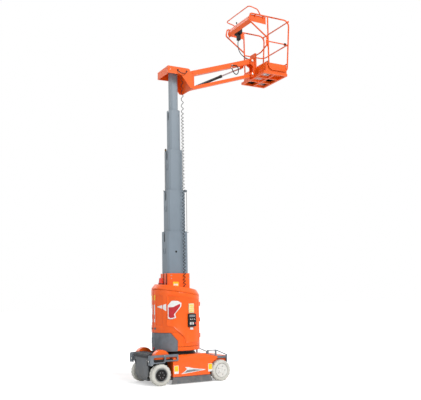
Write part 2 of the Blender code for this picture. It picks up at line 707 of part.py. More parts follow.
def dished_rim():
    """The fixed wheel's rim: a dished disc set into the barrel, and a small hub."""
    half = TYRE_WIDTH / 2
    bore = SPINDLE_RADIUS + PIN_PLAY
    profile = [(bore, half - 0.018), (0.036, half - 0.018), (0.042, half - 0.030), (0.070, half - 0.036),
               (0.095, half - 0.028), (RIM_RADIUS - 0.010, half - 0.010), (RIM_RADIUS - 0.006, half - 0.004),
               (RIM_RADIUS, half - 0.004), (RIM_RADIUS, -half + 0.006), (RIM_RADIUS - 0.010, -half + 0.006),
               (RIM_RADIUS - 0.014, half - 0.040), (0.060, half - 0.050), (0.045, -0.020), (bore, -0.020)]
    return turned(profile, (FIXED_X, -WHEEL_Y, TYRE_RADIUS), "-Y", WHEEL_SIDES, "rim")


# Mast sections

def corner_cut(half_x, half_y, corner):
    """A rectangle about the slew axis with its corners cut."""
    return [(SLEW_X + half_x, -half_y + corner), (SLEW_X + half_x, half_y - corner),
            (SLEW_X + half_x - corner, half_y), (SLEW_X - half_x + corner, half_y),
            (SLEW_X - half_x, half_y - corner), (SLEW_X - half_x, -half_y + corner),
            (SLEW_X - half_x + corner, -half_y), (SLEW_X + half_x - corner, -half_y)]


def hollow_section(size_x, size_y, wall, low, high, inner=None):
    """An eight-sided tube; inner is the size of the stage inside, which its top pads guide."""
    inner_corner = MAST_CORNER - wall * 0.6
    half_x, half_y = size_x / 2 - wall, size_y / 2 - wall
    section = prism([corner_cut(size_x / 2, size_y / 2, MAST_CORNER),
                     corner_cut(half_x, half_y, inner_corner)], low, high, "Z", "section")
    if not inner:
        return section
    pad_low, pad_high = high - PAD_DROP - PAD_HEIGHT, high - PAD_DROP
    in_x, in_y = inner[0] / 2, inner[1] / 2
    for sign in (-1, 1):
        flat = in_x - MAST_CORNER - 0.008
        span = sorted((sign * (in_y + PIN_PLAY), sign * (half_y + wall / 2)))
        section = united(section, block((SLEW_X - flat, span[0], pad_low), (SLEW_X + flat, span[1], pad_high)))
        span = sorted((SLEW_X + sign * (in_x + PIN_PLAY), SLEW_X + sign * (half_x + wall / 2)))
        for side in (-1, 1):
            width = sorted((side * 0.0245, side * (in_y - MAST_CORNER - 0.002)))
            section = united(section, block((span[0], width[0], pad_low), (span[1], width[1], pad_high)))
    return section


def outer_mast():
    """The fixed section: its collar stands above the turret, with the chain slot in its rear face."""
    section = hollow_section(OUTER_X, OUTER_Y, OUTER_WALL, DECK_TOP_Z + SEAT, OUTER_TOP_Z, stage_size(STAGE_COUNT))
    rear = SLEW_X - OUTER_X / 2
    slot = block((rear - 0.01, -0.018, 1.815), (rear + OUTER_WALL + 0.003, 0.018, OUTER_TOP_Z + 0.01))
    return cut(section, slot)


def stage_size(stage):
    """Outer sizes of a moving stage; stage 1 is the innermost and 5 the widest."""
    steps = STAGE_COUNT - stage
    return (0.430 - steps * STAGE_STEP_X, 0.290 - steps * STAGE_STEP_Y)


def stage_top(stage):
    if stage == 1:
        return HEAD_TOP_Z - HEAD_PLATE - SEAT
    return OUTER_TOP_Z + STAGE_EXPOSED * (STAGE_COUNT + 1 - stage)


def mast_stage(stage):
    size_x, size_y = stage_size(stage)
    top = stage_top(stage)
    length = MAST_LENGTH if stage > 1 else MAST_LENGTH + 0.02
    inner = stage_size(stage - 1) if stage > 1 else None
    section = hollow_section(size_x, size_y, STAGE_WALL, top - length, top, inner)
    if stage > 1:
        rear = SLEW_X - size_x / 2
        section = cut(section, block((rear - 0.01, -0.018, top - 0.19),
                                     (rear + STAGE_WALL + 0.003, 0.018, top + 0.01)))
    return section


# Turret

def turret_deck():
    """The turning platform on the ring: a disc whose edge is stepped back below."""
    low = HULL_TOP_Z + RING_HEIGHT + 2 * SEAT
    profile = [(0.0, low + DECK_THICKNESS), (DECK_RADIUS, low + DECK_THICKNESS), (DECK_RADIUS, low + 0.014),
               (RING_OUTER - 0.014, low + 0.014), (RING_OUTER - 0.014, low), (0.0, low)]
    return turned(profile, (SLEW_X, 0, 0), "Z", 48, "deck")


def sector(inner, outer, start, end, low, high):
    """A curved wall about the slew axis between two angles in degrees."""
    steps = max(2, round((end - start) / FACET_ANGLE))
    outline = arc((SLEW_X, 0), outer, start, end, steps) + arc((SLEW_X, 0), inner, end, start, steps)
    return prism(outline, low, high, "Z", "sector")


def weight_front_x():
    """The plane where the counterweight's front corners end."""
    return SLEW_X + TURRET_RADIUS * cos(radians(COUNTERWEIGHT_ANGLE))


def counterweight():
    """The cast grey weight at the back of the turret, its front corners cut off slantwise."""
    angle = COUNTERWEIGHT_ANGLE
    weight = sector(0.285, TURRET_RADIUS - 0.001, angle, 360 - angle, DECK_TOP_Z + SEAT, COUNTERWEIGHT_TOP_Z)
    lip = sector(DECK_RADIUS + 0.003, TURRET_RADIUS - 0.003, angle + 0.2, 359.8 - angle, SKIRT_BOTTOM_Z - 0.006,
                 DECK_TOP_Z + 0.02)
    x = weight_front_x()
    top = COUNTERWEIGHT_TOP_Z
    wedge = prism([(x - 0.120, top + 0.01), (x + 0.5, top + 0.01), (x + 0.5, top - 0.60),
                   (x + 0.001, top - 0.60), (x + 0.001, top - 0.14), (x - 0.110, top)], -1, 1, "Y")
    return cut(united(weight, lip), wedge)


def sloped_top(base, extra=0.0):
    """A big block whose flat underside follows the cap's slope at height base on the slew axis."""
    reach = 1.0
    left = base + extra + reach * TOP_SLOPE
    right = base + extra - reach * TOP_SLOPE
    return prism([(SLEW_X - reach, left), (SLEW_X + reach, right), (SLEW_X + reach, base + 2),
                  (SLEW_X - reach, base + 2)], -1, 1, "Y", "slope")


def cap_top(x):
    """The height of the cap's sloping top at x."""
    return COVER_TOP_Z + CAP_HEIGHT - (x - SLEW_X) * TOP_SLOPE


def sheared(solid, low, high):
    """Moves a solid's vertices to height low or high on the slew axis, fallen with the cap's slope."""
    middle = sum(v.co.z for v in solid.data.vertices) / len(solid.data.vertices)
    for vertex in solid.data.vertices:
        base = low if vertex.co.z < middle else high
        vertex.co.z = base - (vertex.co.x - SLEW_X) * TOP_SLOPE
    return solid


def sloped_lid(outer, low, height):
    """A sloping disc with a chamfered edge, from low to low + height on the slew axis."""
    step = low + height - CAP_CHAMFER_HEIGHT
    rim = sheared(round_bar((SLEW_X, 0, 0), (SLEW_X, 0, 1), outer, 48), low, step)
    crown = sheared(round_bar((SLEW_X, 0, 0), (SLEW_X, 0, 1), outer, 48, outer - CAP_CHAMFER), step - 0.0001,
                    low + height)
    return united(rim, crown)


def under_cap():
    """A big block under the cap's top face, so that what stands on it seats flat."""
    reach = 1.0
    return prism([(SLEW_X - reach, cap_top(SLEW_X - reach) + SEAT), (SLEW_X - reach, 0.5),
                  (SLEW_X + reach, 0.5), (SLEW_X + reach, cap_top(SLEW_X + reach) + SEAT)], -1, 1, "Y")


def turret_cap():
    """The sloping orange cap, a hollow lid chamfered round its edge, open in the middle for the mast."""
    lid = sloped_lid(TURRET_RADIUS, COVER_TOP_Z, CAP_HEIGHT)
    inside = sloped_lid(TURRET_RADIUS - COVER_THICKNESS, COVER_TOP_Z - 0.2, CAP_HEIGHT + 0.2 - COVER_THICKNESS)
    hole = prism(corner_cut(OUTER_X / 2 + SEAT, OUTER_Y / 2 + SEAT, MAST_CORNER), 1.0, 2.5)
    return cut(lid, inside, hole)


def cover_wall(start, end, low, thickness=COVER_THICKNESS, outer=TURRET_RADIUS, top=COVER_TOP_Z - RUNNING):
    wall = sector(outer - thickness, outer, start, end, low, 2.0)
    return cut(wall, sloped_top(top))


def hinge_axis(sign):
    """Where a door's hinge pins stand in plan; sign is -1 for the door at -Y."""
    angle = radians(DOOR_HINGE_ANGLE)
    reach = TURRET_RADIUS + HINGE_OFFSET
    return Vector((SLEW_X + reach * cos(angle), sign * reach * sin(angle)))


def hinge_piece(sign, low, high, side):
    """A hinge barrel with its leaf: side is 1 for the door's leaf and -1 for the panel's."""
    place = hinge_axis(sign)
    barrel = round_bar((place.x, place.y, low), (place.x, place.y, high), HINGE_RADIUS, 12)
    edges = sorted((sign * (DOOR_HINGE_ANGLE + side * 0.5), sign * (DOOR_HINGE_ANGLE + side * 3.2)))
    leaf = sector(TURRET_RADIUS - 0.002, TURRET_RADIUS + 0.006, edges[0], edges[1], low + 0.001, high - 0.001)
    return united(barrel, leaf)


def door():
    """A turret door (at -Y): a curved shell cut away above the counterweight, on three hinge barrels."""
    start, end = 360 - DOOR_REAR_ANGLE, 360 - DOOR_HINGE_ANGLE
    shell = cover_wall(start, end, COVER_BOTTOM_Z)
    x = weight_front_x() + RUNNING
    top = COUNTERWEIGHT_TOP_Z
    notch = prism([(SLEW_X - 1, 0.3), (x, 0.3), (x, top - 0.14), (x - 0.110, top + RUNNING),
                   (SLEW_X - 1, top + RUNNING)], -1, 1, "Y")
    shell = cut(shell, notch)
    place = hinge_axis(-1)
    for height in HINGE_HEIGHTS:
        shell = united(shell, hinge_piece(-1, height - 0.016, height + 0.016, 1))
    return cut(shell, round_bar((place.x, place.y, 0), (place.x, place.y, 3), HINGE_PIN_RADIUS + PIN_PLAY, 8))


def skirt():
    """The fixed band under the doors, its lower edge rounded in, from one side of the weight to the other."""
    outer, inner = TURRET_RADIUS, TURRET_RADIUS - COVER_THICKNESS
    top, low = COVER_BOTTOM_Z - RUNNING, SKIRT_BOTTOM_Z
    profile = [(inner, low), (inner, top), (outer, top), (outer, low + 0.022), (outer - 0.003, low + 0.008),
               (outer - 0.009, low)]
    band = turned(profile[::-1], (SLEW_X, 0, 0), "Z", 60, "band")
    return cut(band, block((SLEW_X - 1, -1, 0), (weight_front_x() + 0.001 + SEAT, 1, 2)))


def front_panel():
    """The fixed orange panel between the doors, with the band under them and the hinge pins of both."""
    edge = DOOR_HINGE_ANGLE - 0.7
    wall = cover_wall(-edge, edge, COVER_BOTTOM_Z - 0.02, 0.022, TURRET_RADIUS, COVER_TOP_Z - SEAT)
    foot = sector(DECK_RADIUS - 0.035, TURRET_RADIUS - 0.013, -edge + 1, edge - 1, DECK_TOP_Z + SEAT,
                  COVER_BOTTOM_Z + 0.05)
    panel = united(wall, foot, skirt())
    for sign in (-1, 1):
        place = hinge_axis(sign)
        for height in HINGE_HEIGHTS:
            for low in (height - 0.036, height + 0.0165):
                panel = united(panel, hinge_piece(sign, low, low + 0.0195, -1))
            panel = united(panel, round_bar((place.x, place.y, height - 0.030), (place.x, place.y, height + 0.030),
                                            HINGE_PIN_RADIUS, 8))
    return panel


def battery_box():
    """The battery block in the far half of the turret."""
    inner = OUTER_Y / 2 + 0.006
    body = block((SLEW_X - 0.19, inner, COUNTERWEIGHT_TOP_Z + 0.006), (SLEW_X + 0.19, 0.36, 1.36))
    post = block((SLEW_X - 0.03, inner, DECK_TOP_Z + SEAT), (SLEW_X + 0.24, 0.33, COUNTERWEIGHT_TOP_Z + 0.01))
    return united(body, post)


def oil_tank():
    """The hydraulic tank and pump block in the near half of the turret."""
    inner = -(OUTER_Y / 2 + 0.006)
    body = block((SLEW_X - 0.17, -0.34, COUNTERWEIGHT_TOP_Z + 0.006), (SLEW_X + 0.10, inner, 1.22))
    post = block((SLEW_X - 0.03, -0.32, DECK_TOP_Z + SEAT), (SLEW_X + 0.22, inner, COUNTERWEIGHT_TOP_Z + 0.01))
    pump = round_bar((SLEW_X + 0.16, -0.25, COUNTERWEIGHT_TOP_Z), (SLEW_X + 0.16, -0.25, 1.15), 0.05)
    return united(body, post, pump)


def beacon():
    """The warning beacon on its base, on the cap beside the collar."""
    x, y = -0.405, -0.04
    low = cap_top(x)
    base = cut(round_bar((x, y, low - 0.05), (x, y, low + 0.042), 0.050), under_cap())
    lens = round_bar((x, y, low + 0.038), (x, y, low + 0.125), 0.043, 24, 0.034)
    return united(base, lens)


def ground_controls():
    """The ground control box on the near door."""
    angle = radians(284)
    box = block((-0.080, -0.030, 0), (0.080, 0.012, 0.235))
    box.data.transform(Matrix.Rotation(angle + pi / 2, 4, "Z"))
    place = Vector((SLEW_X + TURRET_RADIUS * cos(angle), TURRET_RADIUS * sin(angle), 1.013))
    box.data.transform(Matrix.Translation(place))
    shell = round_bar((SLEW_X, 0, 0.5), (SLEW_X, 0, 2.2), TURRET_RADIUS + SEAT, 144)
    return cut(box, shell)


# Mast head and jib

def side_plate(y_low, y_high):
    outline = [(HEAD_REAR_X, HEAD_TOP_Z), (HEAD_REAR_X, HEAD_SKIRT_Z), (-0.030, HEAD_SKIRT_Z + 0.005),
               (0.175, HEAD_LOW_Z), (HEAD_FRONT_LOW_X + 0.008, HEAD_LOW_Z), (HEAD_FRONT_TOP_X + 0.010, HEAD_TOP_Z - 0.02),
               (HEAD_FRONT_TOP_X - 0.04, HEAD_TOP_Z)]
    outline = rounded(outline, [0, 0, 0.05, 0.01, 0.012, 0.02, 0], 4)
    return prism(outline, y_low, y_high, "Y", "plate")


def mast_head():
    """The folded head on the top stage: top and end plates, cheeks, front plate, jib ears and pins."""
    top = block((HEAD_REAR_X, -HEAD_HALF_WIDTH, HEAD_TOP_Z - HEAD_PLATE),
                (HEAD_FRONT_TOP_X - 0.03, HEAD_HALF_WIDTH, HEAD_TOP_Z))
    end = block((HEAD_REAR_X, -HEAD_HALF_WIDTH, HEAD_SKIRT_Z), (HEAD_REAR_X + HEAD_PLATE, HEAD_HALF_WIDTH, HEAD_TOP_Z))
    cheeks = [side_plate(-HEAD_HALF_WIDTH, -HEAD_HALF_WIDTH + HEAD_PLATE),
              side_plate(HEAD_HALF_WIDTH - HEAD_PLATE, HEAD_HALF_WIDTH)]
    front = prism([(HEAD_FRONT_TOP_X - 0.035, HEAD_TOP_Z), (HEAD_FRONT_TOP_X - 0.020, HEAD_TOP_Z - 0.005),
                   (HEAD_FRONT_TOP_X + 0.004, HEAD_TOP_Z - 0.02),
                   (HEAD_FRONT_LOW_X, HEAD_LOW_Z + 0.003), (HEAD_FRONT_LOW_X - HEAD_PLATE, HEAD_LOW_Z + 0.003),
                   (HEAD_FRONT_TOP_X - HEAD_PLATE - 0.012, HEAD_TOP_Z - HEAD_PLATE - 0.02)],
                  -HEAD_HALF_WIDTH + 0.002, HEAD_HALF_WIDTH - 0.002, "Y")
    head = united(top, end, *cheeks, front)
    ear_inner = UPPER_ARM_WIDTH / 2 + RUNNING
    for sign in (-1, 1):
        ear = prism(rounded([(HEAD_FRONT_TOP_X - 0.012, JIB_PIN_Z + JIB_GAP - 0.045), (HEAD_FRONT_LOW_X - 0.012, JIB_PIN_Z - 0.035),
                             (JIB_PIN_X + 0.03, JIB_PIN_Z - 0.035), (JIB_PIN_X + 0.03, JIB_PIN_Z + JIB_GAP + 0.032),
                             (HEAD_FRONT_TOP_X + 0.01, JIB_PIN_Z + JIB_GAP + 0.032),
                             (HEAD_FRONT_TOP_X - 0.03, HEAD_TOP_Z - 0.012)],
                            [0, 0, 0.028, 0.028, 0.0, 0], 4),
                    *sorted((sign * ear_inner, sign * (ear_inner + EAR_THICKNESS))), "Y")
        head = united(head, ear)
    for z in (JIB_PIN_Z, JIB_PIN_Z + JIB_GAP):
        reach = ear_inner + EAR_THICKNESS + 0.006
        far = CYLINDER_Y + 0.026 if z == JIB_PIN_Z else reach
        head = united(head, round_bar((JIB_PIN_X, -reach, z), (JIB_PIN_X, far, z), JIB_PIN_RADIUS, 20))
    return head


def along_jib(start, distance, above=0.0):
    """The point at that distance along an arm from its head pin, and above its axis."""
    angle = radians(JIB_ANGLE)
    return Vector((start[0] + distance * cos(angle) - above * sin(angle), 0.0,
                   start[1] + distance * sin(angle) + above * cos(angle)))


def arm_solid(solid, start):
    """Turns a solid drawn along +X from the origin to the jib's angle at its head pin."""
    solid.data.transform(Matrix.Translation((start[0], 0, start[1])) @ Matrix.Rotation(-radians(JIB_ANGLE), 4, "Y"))
    return solid


def pin_bore(x, radius=JIB_PIN_RADIUS):
    return round_bar((x, -1, 0), (x, 1, 0), radius + PIN_PLAY, 20)


def upper_arm():
    """The upper box arm, open at its ends, with the boss that the cylinder's pin faces."""
    half_w, half_h, wall = UPPER_ARM_WIDTH / 2, UPPER_ARM_HEIGHT / 2, UPPER_ARM_WALL
    ends = rounded([(-ARM_END, -half_h), (JIB_LENGTH + ARM_END, -half_h), (JIB_LENGTH + ARM_END, half_h),
                    (-ARM_END, half_h)], 0.022, 3)
    arm = prism(ends, -half_w, half_w, "Y")
    arm = cut(arm, block((-1, -half_w + wall, -half_h + wall), (3, half_w - wall, half_h - wall)))
    arm = cut(arm, pin_bore(0), pin_bore(JIB_LENGTH))
    x, below = CYLINDER_EYE_ALONG, CYLINDER_EYE_BELOW
    gusset = prism([(x - 0.07, -half_h + 0.003), (x + 0.05, -half_h + 0.003), (x + 0.024, -below - 0.024),
                    (x - 0.024, -below - 0.024)], LOWER_ARM_WIDTH / 2 + RUNNING, half_w - 0.0005, "Y")
    boss = round_bar((x, half_w - 0.004, -below), (x, CYLINDER_Y - EYE_WIDTH / 2 - 0.012, -below), 0.022, 20)
    return arm_solid(united(arm, gusset, boss), (JIB_PIN_X, JIB_PIN_Z + JIB_GAP))


def lower_arm():
    """The lower arm, a channel open at the top."""
    half_w, wall = LOWER_ARM_WIDTH / 2, LOWER_ARM_WALL
    arm = block((-ARM_END, -half_w, -LOWER_ARM_BELOW), (JIB_LENGTH + ARM_END, half_w, LOWER_ARM_ABOVE))
    arm = cut(arm, block((-1, -half_w + wall, -LOWER_ARM_BELOW + wall), (3, half_w - wall, 1)))
    arm = cut(arm, pin_bore(0), pin_bore(JIB_LENGTH))
    return arm_solid(arm, (JIB_PIN_X, JIB_PIN_Z))


def cylinder_ends():
    """Foot and eye of the jib cylinder at rest, in the x-z plane, with its length and angle."""
    foot = Vector((JIB_PIN_X, 0, JIB_PIN_Z))
    eye = along_jib((JIB_PIN_X, JIB_PIN_Z + JIB_GAP), CYLINDER_EYE_ALONG, -CYLINDER_EYE_BELOW)
    span = eye - foot
    return foot, eye, span.length, atan2(span.z, span.x)


def cylinder_solid(solid):
    foot, eye, length, angle = cylinder_ends()
    solid.data.transform(Matrix.Translation((foot.x, CYLINDER_Y, foot.z)) @ Matrix.Rotation(-angle, 4, "Y"))
    return solid


def jib_barrel():
    """The cylinder's barrel with its foot eye, open at the rod's end."""
    body = round_bar((0.020, 0, 0), (BARREL_LENGTH - 0.01, 0, 0), BARREL_RADIUS, 24)
    gland = round_bar((BARREL_LENGTH - 0.045, 0, 0), (BARREL_LENGTH, 0, 0), BARREL_RADIUS + 0.004, 24)
    foot = round_bar((0, -0.018, 0), (0, 0.018, 0), 0.032, 24)
    barrel = cut(united(body, gland, foot),
                 round_bar((0, -1, 0), (0, 1, 0), JIB_PIN_RADIUS + PIN_PLAY, 20),
                 round_bar((0.050, 0, 0), (BARREL_LENGTH + 0.1, 0, 0), ROD_RADIUS + PIN_PLAY, 20))
    return cylinder_solid(barrel)


def jib_rod():
    """The chrome rod with its eye, and the pin through it that faces the arm's boss."""
    foot, eye, length, angle = cylinder_ends()
    rod = round_bar((BARREL_LENGTH - ROD_INSIDE, 0, 0), (length - 0.018, 0, 0), ROD_RADIUS, 20)
    eye_ring = round_bar((length, -EYE_WIDTH / 2, 0), (length, EYE_WIDTH / 2, 0), 0.028, 24)
    pin = round_bar((length, -EYE_WIDTH / 2 - 0.0065, 0), (length, EYE_WIDTH / 2 + 0.009, 0), CYLINDER_PIN_RADIUS, 20)
    return cylinder_solid(united(rod, eye_ring, pin))


# Basket

def basket_pins():
    lower = along_jib((JIB_PIN_X, JIB_PIN_Z), JIB_LENGTH)
    upper = along_jib((JIB_PIN_X, JIB_PIN_Z + JIB_GAP), JIB_LENGTH)
    return lower, upper


def basket_bracket():
    """The two cheeks round the jib's ends, their pins, and the column that carries the basket."""
    lower, upper = basket_pins()
    inner = UPPER_ARM_WIDTH / 2 + RUNNING
    floor_top = FLOOR_BOTTOM_Z + FLOOR_DEPTH + SEAT
    column = block((COLUMN_BACK_X, -0.100, floor_top), (COLUMN_BACK_X + COLUMN_DEPTH, 0.100, COLUMN_TOP_Z))
    rear, notch = lower.x - 0.040, lower.x + 0.028
    outline = [(rear, lower.z - 0.045), (FLOOR_BACK_X - SEAT, lower.z - 0.060), (FLOOR_BACK_X - SEAT, floor_top + 0.001),
               (COLUMN_BACK_X + 0.01, floor_top + 0.001), (COLUMN_BACK_X + 0.01, upper.z + 0.07),
               (upper.x + 0.02, upper.z + 0.07), (rear, upper.z + 0.045), (rear, upper.z - 0.075),
               (notch, upper.z - 0.105), (notch, lower.z + 0.048), (rear, lower.z + 0.040)]
    for sign in (-1, 1):
        cheek = prism(rounded(outline, [0.03, 0.01, 0, 0, 0, 0.03, 0.03, 0.015, 0.02, 0.02, 0.012], 3),
                      *sorted((sign * inner, sign * (inner + EAR_THICKNESS))), "Y")
        column = united(column, cheek)
    reach = inner + EAR_THICKNESS + 0.006
    for pin in (lower, upper):
        column = united(column, round_bar((pin.x, -reach, pin.z), (pin.x, reach, pin.z), JIB_PIN_RADIUS, 20))
    return column


def basket_floor():
    """The floor frame: a rim with one rib along and two across, six openings."""
    x0, x1, w = FLOOR_BACK_X, FLOOR_FRONT_X, FLOOR_HALF_WIDTH
    outline = [(x0, -w), (x1, -w), (x1, w), (x0, w)]
    holes = []
    cell_x = (x1 - x0 - 3 * FLOOR_MEMBER) / 2
    cell_y = (2 * w - 4 * FLOOR_MEMBER) / 3
    for i in range(2):
        for j in range(3):
            left = x0 + FLOOR_MEMBER + i * (cell_x + FLOOR_MEMBER)
            low = -w + FLOOR_MEMBER + j * (cell_y + FLOOR_MEMBER)
            holes.append([(left, low), (left + cell_x, low), (left + cell_x, low + cell_y), (left, low + cell_y)])
    return prism([outline] + holes, FLOOR_BOTTOM_Z, FLOOR_BOTTOM_Z + FLOOR_DEPTH, "Z", "floor")


def floor_grating():
    """The open grating that lies on the floor frame inside the toe board."""
    x0 = TOE_BACK_X + TOE_BOARD_THICKNESS + SEAT
    x1 = FLOOR_FRONT_X - TOE_BOARD_THICKNESS - SEAT
    w = FLOOR_HALF_WIDTH - TOE_BOARD_THICKNESS - SEAT
    holes = []
    columns, rows, bar = 4, 6, 0.010
    pitch_x = (x1 - x0 - 0.02 - bar) / columns
    pitch_y = (2 * w - 0.02 - bar) / rows
    for i in range(columns):
        for j in range(rows):
            left, low = x0 + 0.01 + bar + i * pitch_x, -w + 0.01 + bar + j * pitch_y
            holes.append([(left, low), (left + pitch_x - bar, low), (left + pitch_x - bar, low + pitch_y - bar),
                          (left, low + pitch_y - bar)])
    edge = rounded([(x0, -w), (x1, -w), (x1, w), (x0, w)], 0.03, 3)
    low = FLOOR_BOTTOM_Z + FLOOR_DEPTH + SEAT
    return prism([edge] + holes, low, low + GRATING_THICKNESS, "Z", "grating")


def toe_board():
    """The upright board round the floor, with rounded corners."""
    x0, x1, w, t = TOE_BACK_X, FLOOR_FRONT_X, FLOOR_HALF_WIDTH, TOE_BOARD_THICKNESS
    outer = rounded([(x0, -w), (x1, -w), (x1, w), (x0, w)], 0.03, 3)
    inner = rounded([(x0 + t, -w + t), (x1 - t, -w + t), (x1 - t, w - t), (x0 + t, w - t)], 0.03 - t, 3)
    low = FLOOR_BOTTOM_Z + FLOOR_DEPTH + SEAT
    return prism([outer, inner], low, low + TOE_BOARD_HEIGHT, "Z", "toe")


def rail_y(z):
    """How far out the side rails lean at that height."""
    share = (z - RAIL_LOW) / (RAIL_TOP - RAIL_LOW)
    return RAIL_HALF_WIDTH_LOW + share * (RAIL_HALF_WIDTH_TOP - RAIL_HALF_WIDTH_LOW)


def post_x(z):
    """The front post leans forward as it rises."""
    share = (z - RAIL_LOW) / (RAIL_TOP - RAIL_LOW)
    return POST_FRONT_LOW_X + share * (POST_FRONT_TOP_X - POST_FRONT_LOW_X)


def side_loop(sign):
    """The bent tubes of one side: slanted brace, top rail, front post, foot rail and back post."""
    def at(x, z):
        return Vector((x, sign * rail_y(z), z))
    split = POST_BACK_X + 0.12
    upper = tube([at(POST_BACK_X, 6.885), at(1.440, 7.200), at(RAIL_BACK_X, RAIL_TOP), at(split - 0.001, RAIL_TOP)],
                 TUBE_RADIUS - 0.0004, corner=[0, 0.045, 0.045, 0], steps=4)
    lower = tube([at(POST_BACK_X, RAIL_TOP - 0.004), at(POST_BACK_X, RAIL_LOW), at(POST_FRONT_LOW_X, RAIL_LOW),
                  at(POST_FRONT_TOP_X, RAIL_TOP), at(split + 0.001, RAIL_TOP)],
                 corner=[0, 0.09, 0.09, 0.12, 0], steps=5)
    sleeve = round_bar(at(split - 0.015, RAIL_TOP), at(split + 0.015, RAIL_TOP), TUBE_RADIUS + 0.0015, 16)
    return united(upper, lower, sleeve)


def anchor_plate():
    """The lanyard plate with three holes behind the near back post."""
    x, y = POST_BACK_X - TUBE_RADIUS, -rail_y(6.80)
    edge = rounded([(x + 0.006, 6.692), (x + 0.006, 6.908), (x - 0.034, 6.880), (x - 0.044, 6.800),
                    (x - 0.034, 6.720)], [0, 0, 0.012, 0.02, 0.012], 3)
    holes = [arc((x - 0.018, z), 0.011, 12, 342, 11) for z in (6.745, 6.800, 6.855)]
    return prism([edge] + holes, y - 0.004, y + 0.004, "Y", "anchor")


def basket_rails():
    """The welded rails: two side loops and the rails that tie them together."""
    mid_y, back_y = rail_y(RAIL_MID), rail_y(6.78)
    cross_x, cross_z, end = POST_FRONT_TOP_X - 0.0225, RAIL_TOP - 0.0215, OVERALL_WIDTH / 2 - 0.001
    front_top = tube([(cross_x, -end + 0.002, cross_z), (cross_x, end - 0.002, cross_z)], TUBE_RADIUS - 0.0011)
    front_mid = tube([(post_x(RAIL_MID), -mid_y, RAIL_MID), (post_x(RAIL_MID), mid_y, RAIL_MID),
                      (POST_BACK_X, mid_y, RAIL_MID)], TUBE_RADIUS - 0.0013, corner=[0, 0.10, 0], steps=6)
    front_low = tube([(post_x(6.40), -rail_y(6.40), 6.40), (post_x(6.40), rail_y(6.40), 6.40)],
                     TUBE_RADIUS - 0.0022)
    thin = TUBE_RADIUS - 0.0017
    back_x = COLUMN_BACK_X + COLUMN_DEPTH + thin + SEAT
    back = tube([(POST_BACK_X, -back_y, 6.78), (back_x, -0.26, BACK_RAIL_Z), (back_x, 0.26, BACK_RAIL_Z),
                 (POST_BACK_X, back_y, 6.78)], thin, corner=[0, 0.08, 0.08, 0])
    foot_back = tube([(POST_BACK_X, -rail_y(6.40), 6.40), (POST_BACK_X, rail_y(6.40), 6.40)],
                     TUBE_RADIUS - 0.0019)
    guard_y = rail_y(RAIL_TOP) - 0.008
    guard = tube([(RAIL_BACK_X + 0.25, -rail_y(RAIL_TOP), RAIL_TOP), (RAIL_BACK_X + 0.18, -guard_y, HOOP_Z - 0.04),
                  (1.450, -guard_y, HOOP_Z), (1.450, guard_y, HOOP_Z), (RAIL_BACK_X + 0.18, guard_y, HOOP_Z - 0.04),
                  (RAIL_BACK_X + 0.25, rail_y(RAIL_TOP), RAIL_TOP)],
                 radius=0.012, corner=[0, 0.05, 0.06, 0.06, 0.05, 0])
    frame = united(side_loop(-1), front_top, front_mid, front_low, back, foot_back, guard, side_loop(1))
    for sign in (-1, 1):
        frame = united(frame, round_bar((cross_x, sign * (end - 0.026), cross_z), (cross_x, sign * end, cross_z),
                                        TUBE_RADIUS + 0.0035, 16))
        for x in (2.00, 2.26):
            side = sorted((sign * (FLOOR_HALF_WIDTH + SEAT), sign * RAIL_HALF_WIDTH_LOW))
            frame = united(frame, block((x - 0.02, side[0], RAIL_LOW - 0.012), (x + 0.02, side[1], RAIL_LOW + 0.011)))
        for x in (1.60, 1.80):
            side = sorted((sign * (CONSOLE_HALF_WIDTH + SEAT), sign * RAIL_HALF_WIDTH_TOP))
            frame = united(frame, block((x - 0.015, side[0], RAIL_TOP - 0.045), (x + 0.015, side[1], RAIL_TOP - 0.003)))
    pivot = round_bar((POST_BACK_X, -rail_y(GATE_Z), GATE_Z), (POST_BACK_X, GATE_Y + 0.014, GATE_Z), 0.008, 16)
    rest = block((post_x(GATE_Z) - 0.050, -rail_y(GATE_Z), GATE_Z - 0.032),
                 (post_x(GATE_Z) + 0.006, GATE_Y + 0.014, GATE_Z - 0.0145))
    return united(frame, pivot, rest, anchor_plate())


def gate_bar():
    """The drop bar across the entry on the near side, with the eye it swings on."""
    bar = round_bar((POST_BACK_X, GATE_Y, GATE_Z), (post_x(GATE_Z) - 0.024, GATE_Y, GATE_Z), 0.0125, 16)
    eye = round_bar((POST_BACK_X, GATE_Y - 0.012, GATE_Z), (POST_BACK_X, GATE_Y + 0.012, GATE_Z), 0.021, 20)
    return cut(united(bar, eye), round_bar((POST_BACK_X, -1, GATE_Z), (POST_BACK_X, 0, GATE_Z),
                                           0.008 + PIN_PLAY, 16))


def console():
    """The control tray across the back of the basket, with its end gussets under the top rails."""
    y = CONSOLE_HALF_WIDTH
    tray = prism(rounded([(1.500, 7.165), (1.472, 7.25), (1.500, 7.345), (1.620, 7.345), (1.620, 7.337),
                          (1.512, 7.337), (1.484, 7.25), (1.508, 7.167)],
                         [0, 0.02, 0.01, 0, 0, 0.006, 0.02, 0], 3), -y + 0.001, y - 0.001, "Y")
    for sign in (-1, 1):
        gusset = prism([(1.505, 7.20), (1.480, 7.255), (1.507, 7.34), (1.868, 7.34), (1.868, 7.19)],
                       *sorted((sign * (y - 0.006), sign * y)), "Y")
        tray = united(tray, gusset)
    return tray


def platform_controls():
    """The platform control box under the tray and the smaller box below it."""
    box = block((1.515, 0.060, 7.140), (1.605, 0.250, 7.3365))
    lower = block((1.530, 0.110, 7.010), (1.592, 0.190, 7.150))
    return united(box, lower)


